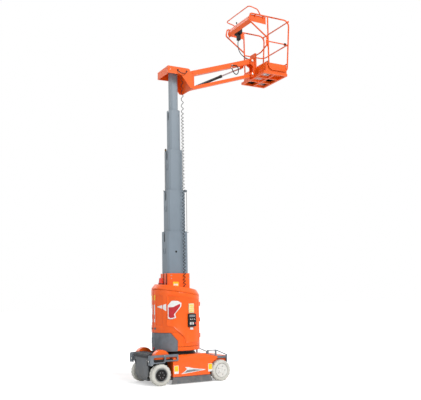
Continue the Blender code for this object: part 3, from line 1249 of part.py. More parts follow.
def coil_cable():
    """The outer shape of the curly cable in front of the mast: one fat tube."""
    low = cap_top(COIL_X - COIL_RADIUS) + SEAT
    high = HEAD_TOP_Z - HEAD_PLATE - SEAT
    return tube([(COIL_X, COIL_Y, low), (COIL_X, COIL_Y, (low + high) / 2), (COIL_X, COIL_Y, high)],
                radius=COIL_RADIUS, name="coil")


def machine():
    parts = Machine()
    root = parts.root
    chassis = parts.empty("chassis", (0, 0, 0), root)
    parts.add("chassis_hull", hull(), "orange", chassis)
    parts.add("belly_pan", belly_pan(), "chassis_grey", chassis)
    parts.add("front_frame", front_frame(), "black", chassis)
    parts.add("nose_panel", nose_panel(), "chassis_grey", chassis)
    parts.add("nose_cover", nose_cover(), "chassis_grey", chassis)
    parts.add("slew_ring", slew_ring(), "black", chassis)
    parts.add("rear_axle", rear_axle(), "steel", chassis)
    for side, solid in both_sides(steer_hump()).items():
        parts.add("steer_hump_" + side, solid, "orange", chassis)
    for side, solid in both_sides(steer_bracket()).items():
        parts.add("steer_bracket_" + side, solid, "chassis_grey", chassis)
    for side, solid in both_sides(deck_rail()).items():
        parts.add("deck_rail_" + side, solid, "chassis_grey", chassis)
    for side, solid in both_sides(pothole_guard()).items():
        sign = -1 if side == "R" else 1
        pivot = parts.empty("guard_" + side, (0, sign * GUARD_Y, GUARD_BOTTOM_Z), chassis)
        parts.add("pothole_guard_" + side, solid, "chassis_grey", pivot)

    rod = parts.empty("steer_rod", (STEER_PIN_X, 0, STEER_ROD_Z), chassis)
    parts.add("steer_rod", steer_rod(), "steel", rod)
    knuckles = both_sides(knuckle())
    steer_tyres, steer_rims = both_sides(tyre(STEER_X)), both_sides(drive_rim())
    fixed_tyres, fixed_rims = both_sides(tyre(FIXED_X)), both_sides(dished_rim())
    for side, sign in (("R", -1), ("L", 1)):
        steer = parts.empty("steer_" + side, (STEER_X, sign * WHEEL_Y, TYRE_RADIUS), chassis)
        parts.add("knuckle_" + side, knuckles[side], "black", steer)
        front = parts.empty("front_wheel_" + side, (STEER_X, sign * WHEEL_Y, TYRE_RADIUS), steer)
        parts.add("front_tyre_" + side, steer_tyres[side], "tyre_white", front)
        parts.add("front_rim_" + side, steer_rims[side], "rim_white", front)
        rear = parts.empty("rear_wheel_" + side, (FIXED_X, sign * WHEEL_Y, TYRE_RADIUS), chassis)
        parts.add("rear_tyre_" + side, fixed_tyres[side], "tyre_white", rear)
        parts.add("rear_rim_" + side, fixed_rims[side], "rim_white", rear)

    turret = parts.empty("turret", (SLEW_X, 0, HULL_TOP_Z), chassis)
    parts.add("turret_deck", turret_deck(), "chassis_grey", turret)
    parts.add("counterweight", counterweight(), "chassis_grey", turret)
    parts.add("turret_cap", turret_cap(), "orange", turret)
    parts.add("turret_front_panel", front_panel(), "orange", turret)
    parts.add("mast_outer", outer_mast(), "orange", turret)
    parts.add("battery_box", battery_box(), "black", turret)
    parts.add("oil_tank", oil_tank(), "black", turret)
    parts.add("beacon", beacon(), "red_lens", turret)
    parts.add("coil_cable", coil_cable(), "black", turret)
    doors = both_sides(door())
    for side, sign in (("R", -1), ("L", 1)):
        place = hinge_axis(sign)
        hinge = parts.empty("door_" + side, (place.x, place.y, COVER_BOTTOM_Z), turret)
        parts.add("turret_door_" + side, doors[side], "orange", hinge)
        if side == "R":
            parts.add("ground_controls", ground_controls(), "black", hinge)

    carrier = turret
    for stage in range(STAGE_COUNT, 0, -1):
        carrier = parts.empty("stage_" + str(stage), (SLEW_X, 0, stage_top(stage)), carrier)
        parts.add("mast_stage_" + str(stage), mast_stage(stage), "mast_grey", carrier)
    parts.add("mast_head", mast_head(), "orange", carrier)

    upper = parts.empty("jib_upper", (JIB_PIN_X, 0, JIB_PIN_Z + JIB_GAP), carrier)
    parts.add("jib_upper_arm", upper_arm(), "orange", upper)
    lower = parts.empty("jib_lower", (JIB_PIN_X, 0, JIB_PIN_Z), carrier)
    parts.add("jib_lower_arm", lower_arm(), "orange", lower)
    barrel = parts.empty("jib_barrel", (JIB_PIN_X, CYLINDER_Y, JIB_PIN_Z), carrier)
    parts.add("jib_barrel", jib_barrel(), "black", barrel)
    rod = parts.empty("jib_rod", cylinder_ends()[1] + Vector((0, CYLINDER_Y, 0)), barrel)
    parts.add("jib_rod", jib_rod(), "steel", rod)

    basket = parts.empty("basket", basket_pins()[1], upper)
    parts.add("basket_bracket", basket_bracket(), "orange", basket)
    parts.add("basket_floor", basket_floor(), "orange", basket)
    parts.add("floor_grating", floor_grating(), "grating", basket)
    parts.add("toe_board", toe_board(), "orange", basket)
    parts.add("basket_rails", basket_rails(), "orange", basket)
    parts.add("console", console(), "orange", basket)
    parts.add("platform_controls", platform_controls(), "black", basket)
    gate = parts.empty("gate", (POST_BACK_X, GATE_Y, GATE_Z), basket)
    parts.add("gate_bar", gate_bar(), "orange", gate)

    corners = [(obj.matrix_world @ vertex.co).x for obj in bpy.data.objects if obj.type == "MESH"
               for vertex in obj.data.vertices]
    root.location.x = -round((min(corners) + max(corners)) / 2, 5)
    bpy.context.view_layer.update()


clear_scene()
machine()
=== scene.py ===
"""Looks of a vertical mast lift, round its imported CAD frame."""
from math import cos, pi, radians, sin

import bmesh
import bpy
from mathutils import Matrix, Vector
from mathutils.geometry import interpolate_bezier

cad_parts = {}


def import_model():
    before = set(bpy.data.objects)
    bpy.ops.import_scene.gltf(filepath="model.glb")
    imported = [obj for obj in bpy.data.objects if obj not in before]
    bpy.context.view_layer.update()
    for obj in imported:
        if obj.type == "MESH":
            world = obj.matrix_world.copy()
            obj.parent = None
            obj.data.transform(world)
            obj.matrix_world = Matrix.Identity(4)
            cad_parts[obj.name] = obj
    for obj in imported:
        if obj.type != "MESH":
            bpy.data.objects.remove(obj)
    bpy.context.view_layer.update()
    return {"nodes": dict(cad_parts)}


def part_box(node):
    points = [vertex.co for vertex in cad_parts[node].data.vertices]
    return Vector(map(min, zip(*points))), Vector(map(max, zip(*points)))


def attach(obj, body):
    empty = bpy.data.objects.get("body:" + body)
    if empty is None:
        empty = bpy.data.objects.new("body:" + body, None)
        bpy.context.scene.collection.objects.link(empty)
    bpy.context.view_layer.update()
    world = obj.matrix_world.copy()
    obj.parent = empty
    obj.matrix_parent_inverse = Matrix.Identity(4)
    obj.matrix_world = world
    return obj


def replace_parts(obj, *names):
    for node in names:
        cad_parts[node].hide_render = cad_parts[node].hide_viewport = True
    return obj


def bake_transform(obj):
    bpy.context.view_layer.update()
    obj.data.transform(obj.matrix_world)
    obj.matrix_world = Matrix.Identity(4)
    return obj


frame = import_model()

# Sizes are in metres. Points are in the machine's own measures: the origin is on the floor, in the middle of
# the machine's width and 0.09 m from the slew axis towards +X.
SLEW_X = -0.09
RING_LOW, RING_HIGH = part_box("slew_ring")
MACHINE_X = (RING_LOW[0] + RING_HIGH[0]) / 2 - SLEW_X
TURRET_RADIUS = 0.45

# Flat things on a face: how thick they are and how far they stand off it.
DECAL = 0.0008
OVERLAY = 0.0004
HAIR = 0.0001
CLEAR = 0.0002
OVER = DECAL + HAIR

# The moulded doors: a skin on the CAD wall, and a raised panel on the skin.
SKIN = 0.0065
PANEL = 0.0105
ON_SKIN = SKIN + CLEAR
ON_PANEL = SKIN + PANEL + CLEAR

CHASSIS_SIDE_Y = 0.47
NOSE_X = -0.788
BRACKET_Y = 0.4955
EDGE = 0.0022
FINE_EDGES = {"basket_rails": 0.001, "gate_bar": 0.002, "jib_rod": 0.001, "steer_rod": 0.001,
              "mast_stage_1": 0.0015}
EDGE_ANGLE = 32
MERGE = 1e-6
SLOPE_FOOT = 0.0006
WRAP_STEP = 3.0


def at(x, y, z):
    """A point of the machine's own measures, in the frame."""
    return Vector((x + MACHINE_X, y, z))


def own_box(node_name):
    """The lowest and the highest corner of a CAD node, in the machine's own measures."""
    return [Vector(corner) - at(0, 0, 0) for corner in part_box(node_name)]


# Materials

DUST = (0.62, 0.58, 0.52)
GRAIN_DEPTH = 0.002


def linear(value):
    """A screen value between 0 and 1 as linear light."""
    return value / 12.92 if value <= 0.04045 else ((value + 0.055) / 1.055) ** 2.4


def colour(r, g, b):
    """A colour as the screen shows it, as the shader takes it."""
    return (linear(r), linear(g), linear(b), 1.0)


def scaled(rgb, factor):
    """A colour made darker or lighter."""
    return colour(*[min(1.0, max(0.0, channel * factor)) for channel in rgb])


def material(name, rgb, rough=0.5, metal=0.0, vary=0.07, scale=5.0, grain=0.06, grain_scale=160.0,
             coat=0.0, dust=0.0, dust_top=0.5, height_blend=None, wear=0.0):
    """A procedural material: cloudy colour, uneven gloss, grain, scratches, and dust or a colour that
    changes with height.
    """
    made = bpy.data.materials.new(name)
    made.use_nodes = True
    nodes = made.node_tree.nodes
    links = made.node_tree.links
    shader = nodes["Principled BSDF"]
    shader.inputs["Metallic"].default_value = metal
    shader.inputs["Coat Weight"].default_value = coat
    shader.inputs["Coat Roughness"].default_value = 0.12
    shader.inputs["Specular IOR Level"].default_value = 0.32
    coordinates = nodes.new("ShaderNodeTexCoord").outputs["Object"]

    def noise(size, detail, roughness=0.55):
        node = nodes.new("ShaderNodeTexNoise")
        node.inputs["Scale"].default_value = size
        node.inputs["Detail"].default_value = detail
        node.inputs["Roughness"].default_value = roughness
        links.new(coordinates, node.inputs["Vector"])
        return node.outputs["Fac"]

    def ramp(source, low, high, a, b):
        node = nodes.new("ShaderNodeMapRange")
        node.inputs["From Min"].default_value = low
        node.inputs["From Max"].default_value = high
        node.inputs["To Min"].default_value = a
        node.inputs["To Max"].default_value = b
        links.new(source, node.inputs["Value"])
        return node.outputs["Result"]

    def mix(factor, a, b):
        node = nodes.new("ShaderNodeMix")
        node.data_type = "RGBA"
        links.new(factor, node.inputs["Factor"])
        for socket, value in ((node.inputs["A"], a), (node.inputs["B"], b)):
            if isinstance(value, tuple):
                socket.default_value = value
            else:
                links.new(value, socket)
        return node.outputs["Result"]

    cloud = ramp(noise(scale, 5.0), 0.3, 0.7, 0.0, 1.0)
    tone = mix(cloud, scaled(rgb, 1 - vary), scaled(rgb, 1 + vary * 0.6))
    apart = nodes.new("ShaderNodeSeparateXYZ")
    links.new(coordinates, apart.inputs["Vector"])
    height = apart.outputs["Z"]
    # Between two heights the colour blends towards a given colour; the mast's grey turns lighter towards the
    # top.
    if height_blend:
        low, high, target = height_blend
        tone = mix(ramp(height, low, high, 0.0, 1.0), tone, colour(*target))
    if wear:
        scratch = ramp(noise(scale * 9, 8.0, 0.7), 0.66, 0.72, 0.0, wear)
        tone = mix(scratch, tone, scaled(rgb, 0.55))
    if dust:
        amount = nodes.new("ShaderNodeMath")
        amount.operation = "MULTIPLY"
        links.new(ramp(height, 0.0, dust_top, dust, 0.0), amount.inputs[0])
        links.new(ramp(noise(14.0, 6.0), 0.35, 0.7, 0.2, 1.0), amount.inputs[1])
        tone = mix(amount.outputs["Value"], tone, colour(*DUST))
    links.new(tone, shader.inputs["Base Color"])
    gloss = ramp(noise(scale * 4, 4.0), 0.3, 0.7, rough * 0.85, min(1.0, rough * 1.15))
    links.new(gloss, shader.inputs["Roughness"])
    bump = nodes.new("ShaderNodeBump")
    bump.inputs["Strength"].default_value = grain
    bump.inputs["Distance"].default_value = GRAIN_DEPTH
    links.new(noise(grain_scale, 3.0), bump.inputs["Height"])
    links.new(bump.outputs["Normal"], shader.inputs["Normal"])
    return made


PAINT = (0.965, 0.385, 0.07)
ORANGE = material("orange_paint", PAINT, rough=0.34, vary=0.035, scale=2.2, coat=0.12, grain=0.03,
                  dust=0.16, dust_top=0.55)
ORANGE_HIGH = material("orange_paint_basket", PAINT, rough=0.36, vary=0.05, scale=4.0, coat=0.1,
                       grain=0.04, wear=0.12)
# The mast's grey turns lighter between 1.6 m and 6.0 m up.
MAST = material("mast_paint", (0.455, 0.505, 0.55), rough=0.42, vary=0.05, scale=2.0, coat=0.1,
                grain=0.05, height_blend=(1.6, 6.0, (0.56, 0.60, 0.635)), wear=0.1)
CHASSIS = material("chassis_paint", (0.37, 0.395, 0.42), rough=0.5, vary=0.10, scale=4.0,
                   grain=0.12, dust=0.35, dust_top=0.6, wear=0.15)
BRACKET = material("bracket_paint", (0.43, 0.465, 0.50), rough=0.48, vary=0.10, scale=5.0,
                   grain=0.12, dust=0.2, dust_top=0.5, wear=0.2)
COVER = material("cover_rubber", (0.20, 0.21, 0.225), rough=0.6, vary=0.15, scale=12.0,
                 grain=0.3, grain_scale=300.0)
CAST = material("cast_weight", (0.43, 0.455, 0.485), rough=0.6, vary=0.12, scale=9.0, grain=0.5,
                grain_scale=70.0, dust=0.2, dust_top=0.9)
BLACK = material("black_paint", (0.075, 0.078, 0.085), rough=0.4, vary=0.2, scale=6.0, dust=0.3,
                 dust_top=0.5)
PLASTIC = material("black_plastic", (0.085, 0.088, 0.095), rough=0.55, vary=0.2, scale=9.0,
                   grain=0.35, grain_scale=420.0)
STEEL = material("bare_steel", (0.60, 0.60, 0.60), rough=0.35, metal=0.9, vary=0.10, scale=12.0,
                 grain=0.1)
CHROME = material("chrome", (0.80, 0.81, 0.83), rough=0.12, metal=1.0, vary=0.03, scale=8.0,
                  grain=0.01)
ZINC = material("galvanised", (0.70, 0.71, 0.71), rough=0.5, metal=0.2, vary=0.16, scale=24.0,
                grain=0.2)
BRIGHT = material("bright_pin", (0.90, 0.90, 0.88), rough=0.3, metal=0.35, vary=0.04, scale=30.0)
TYRE = material("tyre_rubber", (0.80, 0.80, 0.77), rough=0.8, vary=0.07, scale=7.0, grain=0.3,
                grain_scale=260.0, dust=0.3, dust_top=0.30)
RIM = material("rim_paint", (0.60, 0.61, 0.61), rough=0.45, vary=0.08, scale=12.0, dust=0.3,
               dust_top=0.35)
RIM_WHITE = material("rim_white", (0.86, 0.86, 0.84), rough=0.4, vary=0.05, scale=9.0, dust=0.25,
                     dust_top=0.3)
CABLE = material("cable_rubber", (0.055, 0.056, 0.06), rough=0.45, vary=0.2, scale=30.0, grain=0.1,
                 grain_scale=600.0)
LENS = material("red_lens", (0.86, 0.19, 0.07), rough=0.15, vary=0.08, scale=30.0, coat=0.6,
                grain=0.0)
RED = material("red_plastic", (0.80, 0.09, 0.08), rough=0.35, vary=0.06, scale=40.0, coat=0.3)
YELLOW = material("yellow_plate", (0.95, 0.80, 0.16), rough=0.42, vary=0.05, scale=30.0)
CREAM = material("cream_plate", (0.90, 0.87, 0.70), rough=0.45, vary=0.05, scale=40.0)
WHITE = material("white_plate", (0.90, 0.905, 0.90), rough=0.4, vary=0.04, scale=30.0)
CRIMSON = material("crimson_decal", (0.74, 0.16, 0.20), rough=0.38, vary=0.05, scale=20.0)
GREY_DECAL = material("grey_decal", (0.50, 0.52, 0.54), rough=0.45, vary=0.06, scale=30.0)
# Painted shade: a near-black colour for thin plates that stand in for the shadow inside slots and holes.
HOLE_SHADE = material("painted_hole_shade", (0.03, 0.031, 0.034), rough=0.8, vary=0.2, scale=20.0)
GRATING = material("grating_steel", (0.66, 0.67, 0.67), rough=0.6, vary=0.25, scale=14.0,
                   grain=0.3, dust=0.2)
HUB_BLACK = material("hub_black", (0.055, 0.057, 0.062), rough=0.35, vary=0.15, scale=20.0)
GOLD = material("brass", (0.80, 0.62, 0.25), rough=0.3, metal=0.9, vary=0.06, scale=40.0)

FOR_SLOT = {"orange": ORANGE, "mast_grey": MAST, "chassis_grey": CHASSIS, "black": BLACK,
            "black_plastic": PLASTIC, "steel": STEEL, "chrome": CHROME, "rim": RIM, "tyre": TYRE,
            "cast": CAST, "grating": ZINC, "lens": LENS, "cable": CABLE}
BASKET_HEIGHT = 5.5


def look_of(node_name, node):
    """The material of a CAD node: its slot's, or its own where it is painted apart."""
    if node_name.startswith(("steer_bracket", "deck_rail")):
        return BRACKET
    if node_name == "nose_cover":
        return COVER
    slot = node.data.materials[0].name.split(".")[0] if node.data.materials else "black"
    look = FOR_SLOT.get(slot, BLACK)
    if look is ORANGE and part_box(node_name)[0][2] > BASKET_HEIGHT:
        return ORANGE_HIGH
    return look


# The CAD nodes, finished by modifiers alone


def smoothing():
    """A node group that shades all faces smooth."""
    group = bpy.data.node_groups.new("shade_smooth", "GeometryNodeTree")
    group.interface.new_socket("Geometry", in_out="INPUT", socket_type="NodeSocketGeometry")
    group.interface.new_socket("Geometry", in_out="OUTPUT", socket_type="NodeSocketGeometry")
    start = group.nodes.new("NodeGroupInput")
    end = group.nodes.new("NodeGroupOutput")
    faces = group.nodes.new("GeometryNodeSetShadeSmooth")
    faces.domain = "FACE"
    faces.inputs["Shade Smooth"].default_value = True
    group.links.new(start.outputs[0], faces.inputs["Geometry"])
    group.links.new(faces.outputs[0], end.inputs[0])
    return group


def soften(obj, width):
    """Rounds the sharp edges of an object with a bevel."""
    bevel = obj.modifiers.new("edges", "BEVEL")
    bevel.width = width
    bevel.segments = 2
    bevel.limit_method = "ANGLE"
    bevel.angle_limit = radians(EDGE_ANGLE)
    return bevel


def finish_edges(obj, width, group):
    """Welds, cleans and softens the edges of a CAD node."""
    weld = obj.modifiers.new("weld", "WELD")
    weld.merge_threshold = 1e-5
    flat = obj.modifiers.new("planar", "DECIMATE")
    flat.decimate_type = "DISSOLVE"
    flat.angle_limit = radians(0.6)
    smooth = obj.modifiers.new("smooth", "NODES")
    smooth.node_group = group
    bevel = soften(obj, width)
    bevel.use_clamp_overlap = True
    bevel.miter_outer = "MITER_ARC"
    normals = obj.modifiers.new("normals", "WEIGHTED_NORMAL")
    normals.keep_sharp = True


def dress_nodes():
    """Gives each CAD node its material and its finish."""
    group = smoothing()
    for node_name, node in frame["nodes"].items():
        look = look_of(node_name, node)
        for slot in node.material_slots:
            slot.material = look
        finish_edges(node, FINE_EDGES.get(node_name, EDGE), group)


# Shapes


def piece(name, bm, look, body, angle=35, width=0.0):
    """Makes an object of a bmesh, smooth shaded with sharp edges; it rides on a body, if one is named."""
    bmesh.ops.recalc_face_normals(bm, faces=bm.faces)
    mesh = bpy.data.meshes.new(name)
    bm.to_mesh(mesh)
    bm.free()
    mesh.materials.append(look)
    for polygon in mesh.polygons:
        polygon.use_smooth = True
    mesh.set_sharp_from_angle(angle=radians(angle))
    obj = bpy.data.objects.new(name, mesh)
    bpy.context.collection.objects.link(obj)
    if width:
        soften(obj, width)
        normals = obj.modifiers.new("normals", "WEIGHTED_NORMAL")
        normals.keep_sharp = False
    if body:
        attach(obj, body)
    return obj


def frame_of(axis):
    """Two directions across an axis, and the axis itself, each of length 1."""
    axis = Vector(axis).normalized()
    side = axis.cross(Vector((0, 0, 1)))
    if side.length < 1e-3:
        side = axis.cross(Vector((1, 0, 0)))
    side.normalize()
    return side, axis.cross(side).normalized(), axis


def turn(bm, profile, centre, axis, sides=32, radius_of=None):
    """Adds a turned shape: profile is (radius, along) pairs, closed on the axis where the radius is 0."""
    side, up, along = frame_of(axis)
    rings = []
    for row, (radius, offset) in enumerate(profile):
        middle = Vector(centre) + along * offset
        if radius < MERGE:
            rings.append([bm.verts.new(middle)])
            continue
        ring = []
        for k in range(sides):
            angle = 2 * pi * k / sides
            size = radius_of(row, k, radius) if radius_of else radius
            ring.append(bm.verts.new(middle + side * (cos(angle) * size) + up * (sin(angle) * size)))
        rings.append(ring)
    for a, b in zip(rings, rings[1:]):
        for k in range(sides):
            j = (k + 1) % sides
            if len(a) == 1 and len(b) > 1:
                bm.faces.new((a[0], b[k], b[j]))
            elif len(b) == 1 and len(a) > 1:
                bm.faces.new((a[k], a[j], b[0]))
            elif len(a) > 1:
                bm.faces.new((a[k], a[j], b[j], b[k]))
    return bm


def turned_ring(profile, centre, axis, sides):
    """A turned shape with a hole: its profile ends where it starts."""
    bm = turn(bmesh.new(), profile + [profile[0]], centre, axis, sides)
    bmesh.ops.remove_doubles(bm, verts=bm.verts, dist=MERGE)
    return bm


def smooth_path(points, steps=6):
    """Points of a Catmull-Rom curve through the given points."""
    points = [Vector(p) for p in points]
    ends = [points[0] * 2 - points[1]] + points + [points[-1] * 2 - points[-2]]
    path = []
    for a, b, c, d in zip(ends, ends[1:], ends[2:], ends[3:]):
        part = interpolate_bezier(b, b + (c - a) / 6, c - (d - b) / 6, c, steps + 1)
        path.extend(part[:-1])
    path.append(points[-1])
    return path


def sweep(bm, path, radius, sides=12):
    """Adds a closed round tube along a path."""
    path = [Vector(p) for p in path]
    tangent = (path[1] - path[0]).normalized()
    side = frame_of(tangent)[0]
    rings = []
    for i, point in enumerate(path):
        ahead = path[min(i + 1, len(path) - 1)] - path[max(i - 1, 0)]
        tangent = ahead.normalized()
        side = (side - tangent * side.dot(tangent)).normalized()
        up = tangent.cross(side)
        rings.append([bm.verts.new(point + side * (cos(2 * pi * k / sides) * radius)
                                   + up * (sin(2 * pi * k / sides) * radius)) for k in range(sides)])
    for a, b in zip(rings, rings[1:]):
        for k in range(sides):
            j = (k + 1) % sides
            bm.faces.new((a[k], a[j], b[j], b[k]))
    bm.faces.new(list(reversed(rings[0])))
    bm.faces.new(rings[-1])
    return bm


def slab(bm, low, high):
    """Adds a box between two corners."""
    corners = [bm.verts.new((x, y, z)) for z in (low[2], high[2]) for y in (low[1], high[1])
               for x in (low[0], high[0])]
    for loop in ((0, 2, 3, 1), (4, 5, 7, 6), (0, 1, 5, 4), (2, 6, 7, 3), (0, 4, 6, 2), (1, 3, 7, 5)):
        bm.faces.new([corners[i] for i in loop])
    return bm


def cast_plate(loops, height, bevel=0.0, slope=0.0):
    """A closed flat plate of the loops' shape, from 0 up to its height, its top edge softened or sloped."""
    curve = bpy.data.curves.new("outline", "CURVE")
    curve.dimensions = "2D"
    curve.fill_mode = "BOTH"
    curve.extrude = height / 2
    for loop in loops:
        spline = curve.splines.new("POLY")
        spline.points.add(len(loop) - 1)
        for point, (a, b) in zip(spline.points, loop):
            point.co = (a, b, 0, 1)
        spline.use_cyclic_u = True
    holder = bpy.data.objects.new("outline", curve)
    bpy.context.collection.objects.link(holder)
    graph = bpy.context.evaluated_depsgraph_get()
    mesh = bpy.data.meshes.new_from_object(holder.evaluated_get(graph), depsgraph=graph)
    bpy.data.objects.remove(holder)
    bpy.data.curves.remove(curve)
    bm = bmesh.new()
    bm.from_mesh(mesh)
    bpy.data.meshes.remove(mesh)
    bmesh.ops.remove_doubles(bm, verts=bm.verts, dist=MERGE)
    bmesh.ops.translate(bm, vec=(0, 0, height / 2), verts=bm.verts)
    bmesh.ops.recalc_face_normals(bm, faces=bm.faces)
    bmesh.ops.dissolve_limit(bm, angle_limit=0.01, verts=bm.verts, edges=bm.edges)

    def on_top(part):
        return all(abs(v.co.z - height) < MERGE for v in part.verts)

    if slope:
        tops = [face for face in bm.faces if on_top(face)]
        rim = {v for face in tops for v in face.verts}
        bmesh.ops.inset_region(bm, faces=tops, thickness=slope, depth=0.0, use_even_offset=True)
        for v in rim:
            v.co.z = SLOPE_FOOT
    if bevel:
        edges = [e for e in bm.edges if len(e.link_faces) == 2 and e.calc_face_angle(0) > 0.7 and on_top(e)]
        bmesh.ops.bevel(bm, geom=edges, offset=bevel, segments=2, affect="EDGES", profile=0.5)
    return bm


def bend_round(bm, mirror=False, lift=0.0):
    """Wraps a flat plate (arc length, height, thickness) round the turret's wall; 0 is towards +X."""
    step = TURRET_RADIUS * radians(WRAP_STEP)
    low = min(v.co.x for v in bm.verts)
    high = max(v.co.x for v in bm.verts)
    cut = low + step
    while cut < high - step * 0.2:
        geometry = bm.verts[:] + bm.edges[:] + bm.faces[:]
        bmesh.ops.bisect_plane(bm, geom=geometry, plane_co=(cut, 0, 0), plane_no=(1, 0, 0), dist=MERGE)
        cut += step
    for v in bm.verts:
        angle = v.co.x / TURRET_RADIUS
        if mirror:
            angle = -angle
        reach = TURRET_RADIUS + lift + v.co.z
        v.co = at(SLEW_X + reach * cos(angle), reach * sin(angle), v.co.y)
    return bm


def place(bm, rule):
    """Moves each point of a flat plate by a rule."""
    for v in bm.verts:
        v.co = rule(*v.co)
    return bm


def near(y):
    """Onto a side face that looks to -Y."""
    return lambda a, b, h: at(a, y - h, b)


def front(x):
    """Onto a face that looks to -X."""
    return lambda a, b, h: at(x - h, a, b)


def rounded(points, radius, steps=4):
    """Corners of a closed 2D loop rounded."""
    loop = []
    count = len(points)
    for i, point in enumerate(points):
        here = Vector(point)
        before = Vector(points[i - 1])
        after = Vector(points[(i + 1) % count])
        cut = min(radius, (before - here).length * 0.45, (after - here).length * 0.45)
        a = here + (before - here).normalized() * cut
        b = here + (after - here).normalized() * cut
        for k in range(steps + 1):
            t = k / steps
            loop.append(tuple(a * (1 - t) ** 2 + here * (2 * t * (1 - t)) + b * t * t))
    return loop


def rectangle(a0, b0, a1, b1, radius=0.0):
    """A rectangle between two corners, with rounded corners where a radius is given."""
    loop = [(a0, b0), (a1, b0), (a1, b1), (a0, b1)]
    return rounded(loop, radius) if radius else loop


def circle(a, b, radius, sides=24):
    """A circle as a loop of points."""
    angles = [2 * pi * k / sides for k in range(sides)]
    return [(a + radius * cos(angle), b + radius * sin(angle)) for angle in angles]


def arc(degrees_round):
    """The way along the turret's wall from +X to an angle."""
    return TURRET_RADIUS * radians(degrees_round)


def mirrored(bm, sign):
    """The shape itself, or its mirror image on the far side where the sign is -1."""
    if sign < 0:
        for v in bm.verts:
            v.co.y = -v.co.y
    return bm


def wrapped_plate(name, loop, look, body, lift, mirror=False, height=DECAL, hole=()):
    """A plate on the turret's wall; its points are (degrees round, height)."""
    loops = [[(arc(a), z) for a, z in points] for points in (loop, hole) if points]
    return piece(name, bend_round(cast_plate(loops, height), mirror, lift), look, body, angle=40)


def bolts(name, places, body, look=ZINC):
    """Hexagon bolts with washers and domed tops: places are (centre, axis, size across)."""
    bm = bmesh.new()
    for centre, axis, size in places:
        washer = size * 0.72
        rise = size * 0.12
        turn(bm, [(0, 0), (washer, 0), (washer, rise), (0, rise)], centre, axis, 20)
        head = size * 0.55
        top = size * 0.46
        foot = Vector(centre) + Vector(axis).normalized() * rise
        turn(bm, [(0, 0), (head, 0), (head, size * 0.38), (top, top), (0, top)], foot, axis, 6)
    return piece(name, bm, look, body, angle=28)


def both(build):
    """Makes a piece for the near side and its mirror image for the far side."""
    for side, sign in (("R", 1), ("L", -1)):
        build(side, sign)


# The curly cable

COIL_BODIES = ("turret", "stage_5", "stage_4", "stage_3", "stage_2", "stage_1")
COIL_LOW, COIL_HIGH = 1.7235, 6.0120
COIL_X, COIL_Y = 0.012, -0.203
COIL_RADIUS = 0.0200
COIL_WIRE = 0.0060
COIL_PITCH = 0.066
COIL_STRETCH = 0.070
STRETCH_FROM, STRETCH_OVER = 5.0, 0.3
COIL_STEPS = 16


def coil_points():
    """The helix of the whole cable, with a longer pitch near the top."""
    points = []
    angle = 0.0
    z = COIL_LOW + 0.004
    while z < COIL_HIGH - 0.004:
        points.append(at(COIL_X + COIL_RADIUS * cos(angle), COIL_Y + COIL_RADIUS * sin(angle), z))
        angle += 2 * pi / COIL_STEPS
        z += (COIL_PITCH + COIL_STRETCH * min(1.0, max(0.0, (z - STRETCH_FROM) / STRETCH_OVER))) / COIL_STEPS
    return points


def coil():
    """The curly cable beside the mast, in lengths that each span two sections."""
    points = coil_points()
    count = len(COIL_BODIES) - 1
    span = (COIL_HIGH - COIL_LOW) / count
    made = []
    for i in range(count):
        a = COIL_LOW + span * i
        b = a + span
        inside = [p for p in points if a - 0.0035 <= p.z <= b + 0.0035]
        bm = sweep(bmesh.new(), inside, COIL_WIRE, 8)
        obj = piece("coil_cable_length_%d" % (i + 1), bm, CABLE, None, angle=60)
        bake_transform(obj)
        made.append(obj)
    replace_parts(made[0], "coil_cable")


# Wheels

TREAD_STEPS = 144
LUG_STEPS = 4
LUG_DEPTH = 0.0065
BEAD = 0.1225


def lug_radius(row, k, radius):
    """Cuts the shoulders of a tyre into lugs, those of one side shifted against the other's."""
    if row in (4, 5, 6, 9, 10, 11):
        shift = LUG_STEPS if row > 7 else 0
        if ((k + shift) // LUG_STEPS) % 2:
            return radius - LUG_DEPTH
    return radius


def tyre(name, low, high, body):
    """A moulded tyre in the place of the CAD one."""
    radius = (high.z - low.z) / 2
    half = (high.y - low.y) / 2
    flank = [(BEAD, half - 0.014), (BEAD + 0.010, half - 0.004), (0.146, half), (0.166, half - 0.001),
             (radius - 0.010, half - 0.005), (radius - 0.003, half - 0.0115), (radius, half - 0.018),
             (radius, 0.016)]
    profile = [(r, -y) for r, y in flank] + flank[::-1] + [(BEAD, 0.014 - half)]
    bm = turn(bmesh.new(), profile, (low + high) / 2, (0, 1, 0), TREAD_STEPS, lug_radius)
    bmesh.ops.remove_doubles(bm, verts=bm.verts, dist=MERGE)
    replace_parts(piece("moulded_" + name, bm, TYRE, body, angle=24), name)


def bolt_ring(name, face, out, radius, offset, count, size, body, look):
    """Bolts in a circle on a wheel's face."""
    places = []
    for k in range(count):
        angle = 2 * pi * k / count
        shift = Vector((radius * cos(angle), out * offset, radius * sin(angle)))
        places.append((face + shift, (0, out, 0), size))
    bolts("hub_bolts_" + name, places, body, look)


def front_hub(name, face, out, body):
    """The black hub of a steered wheel."""
    axis = (0, out, 0)
    profile = [(0, -0.020), (0.098, -0.020), (0.100, -0.004), (0.096, 0.0), (0.060, 0.0015), (0.050, 0.004),
               (0.020, 0.005), (0, 0.005)]
    hub = piece("hub_disc_" + name, turn(bmesh.new(), profile, face, axis, 48), HUB_BLACK, body)
    bolt_ring(name, face, out, 0.048, 0.0032, 6, 0.013, body, STEEL)
    band = turned_ring([(0.070, 0.0008), (0.094, 0.0002), (0.094, 0.0035), (0.088, 0.0050), (0.074, 0.0050),
                        (0.070, 0.0030)], face, axis, 48)
    piece("hub_band_" + name, band, HUB_BLACK, body)


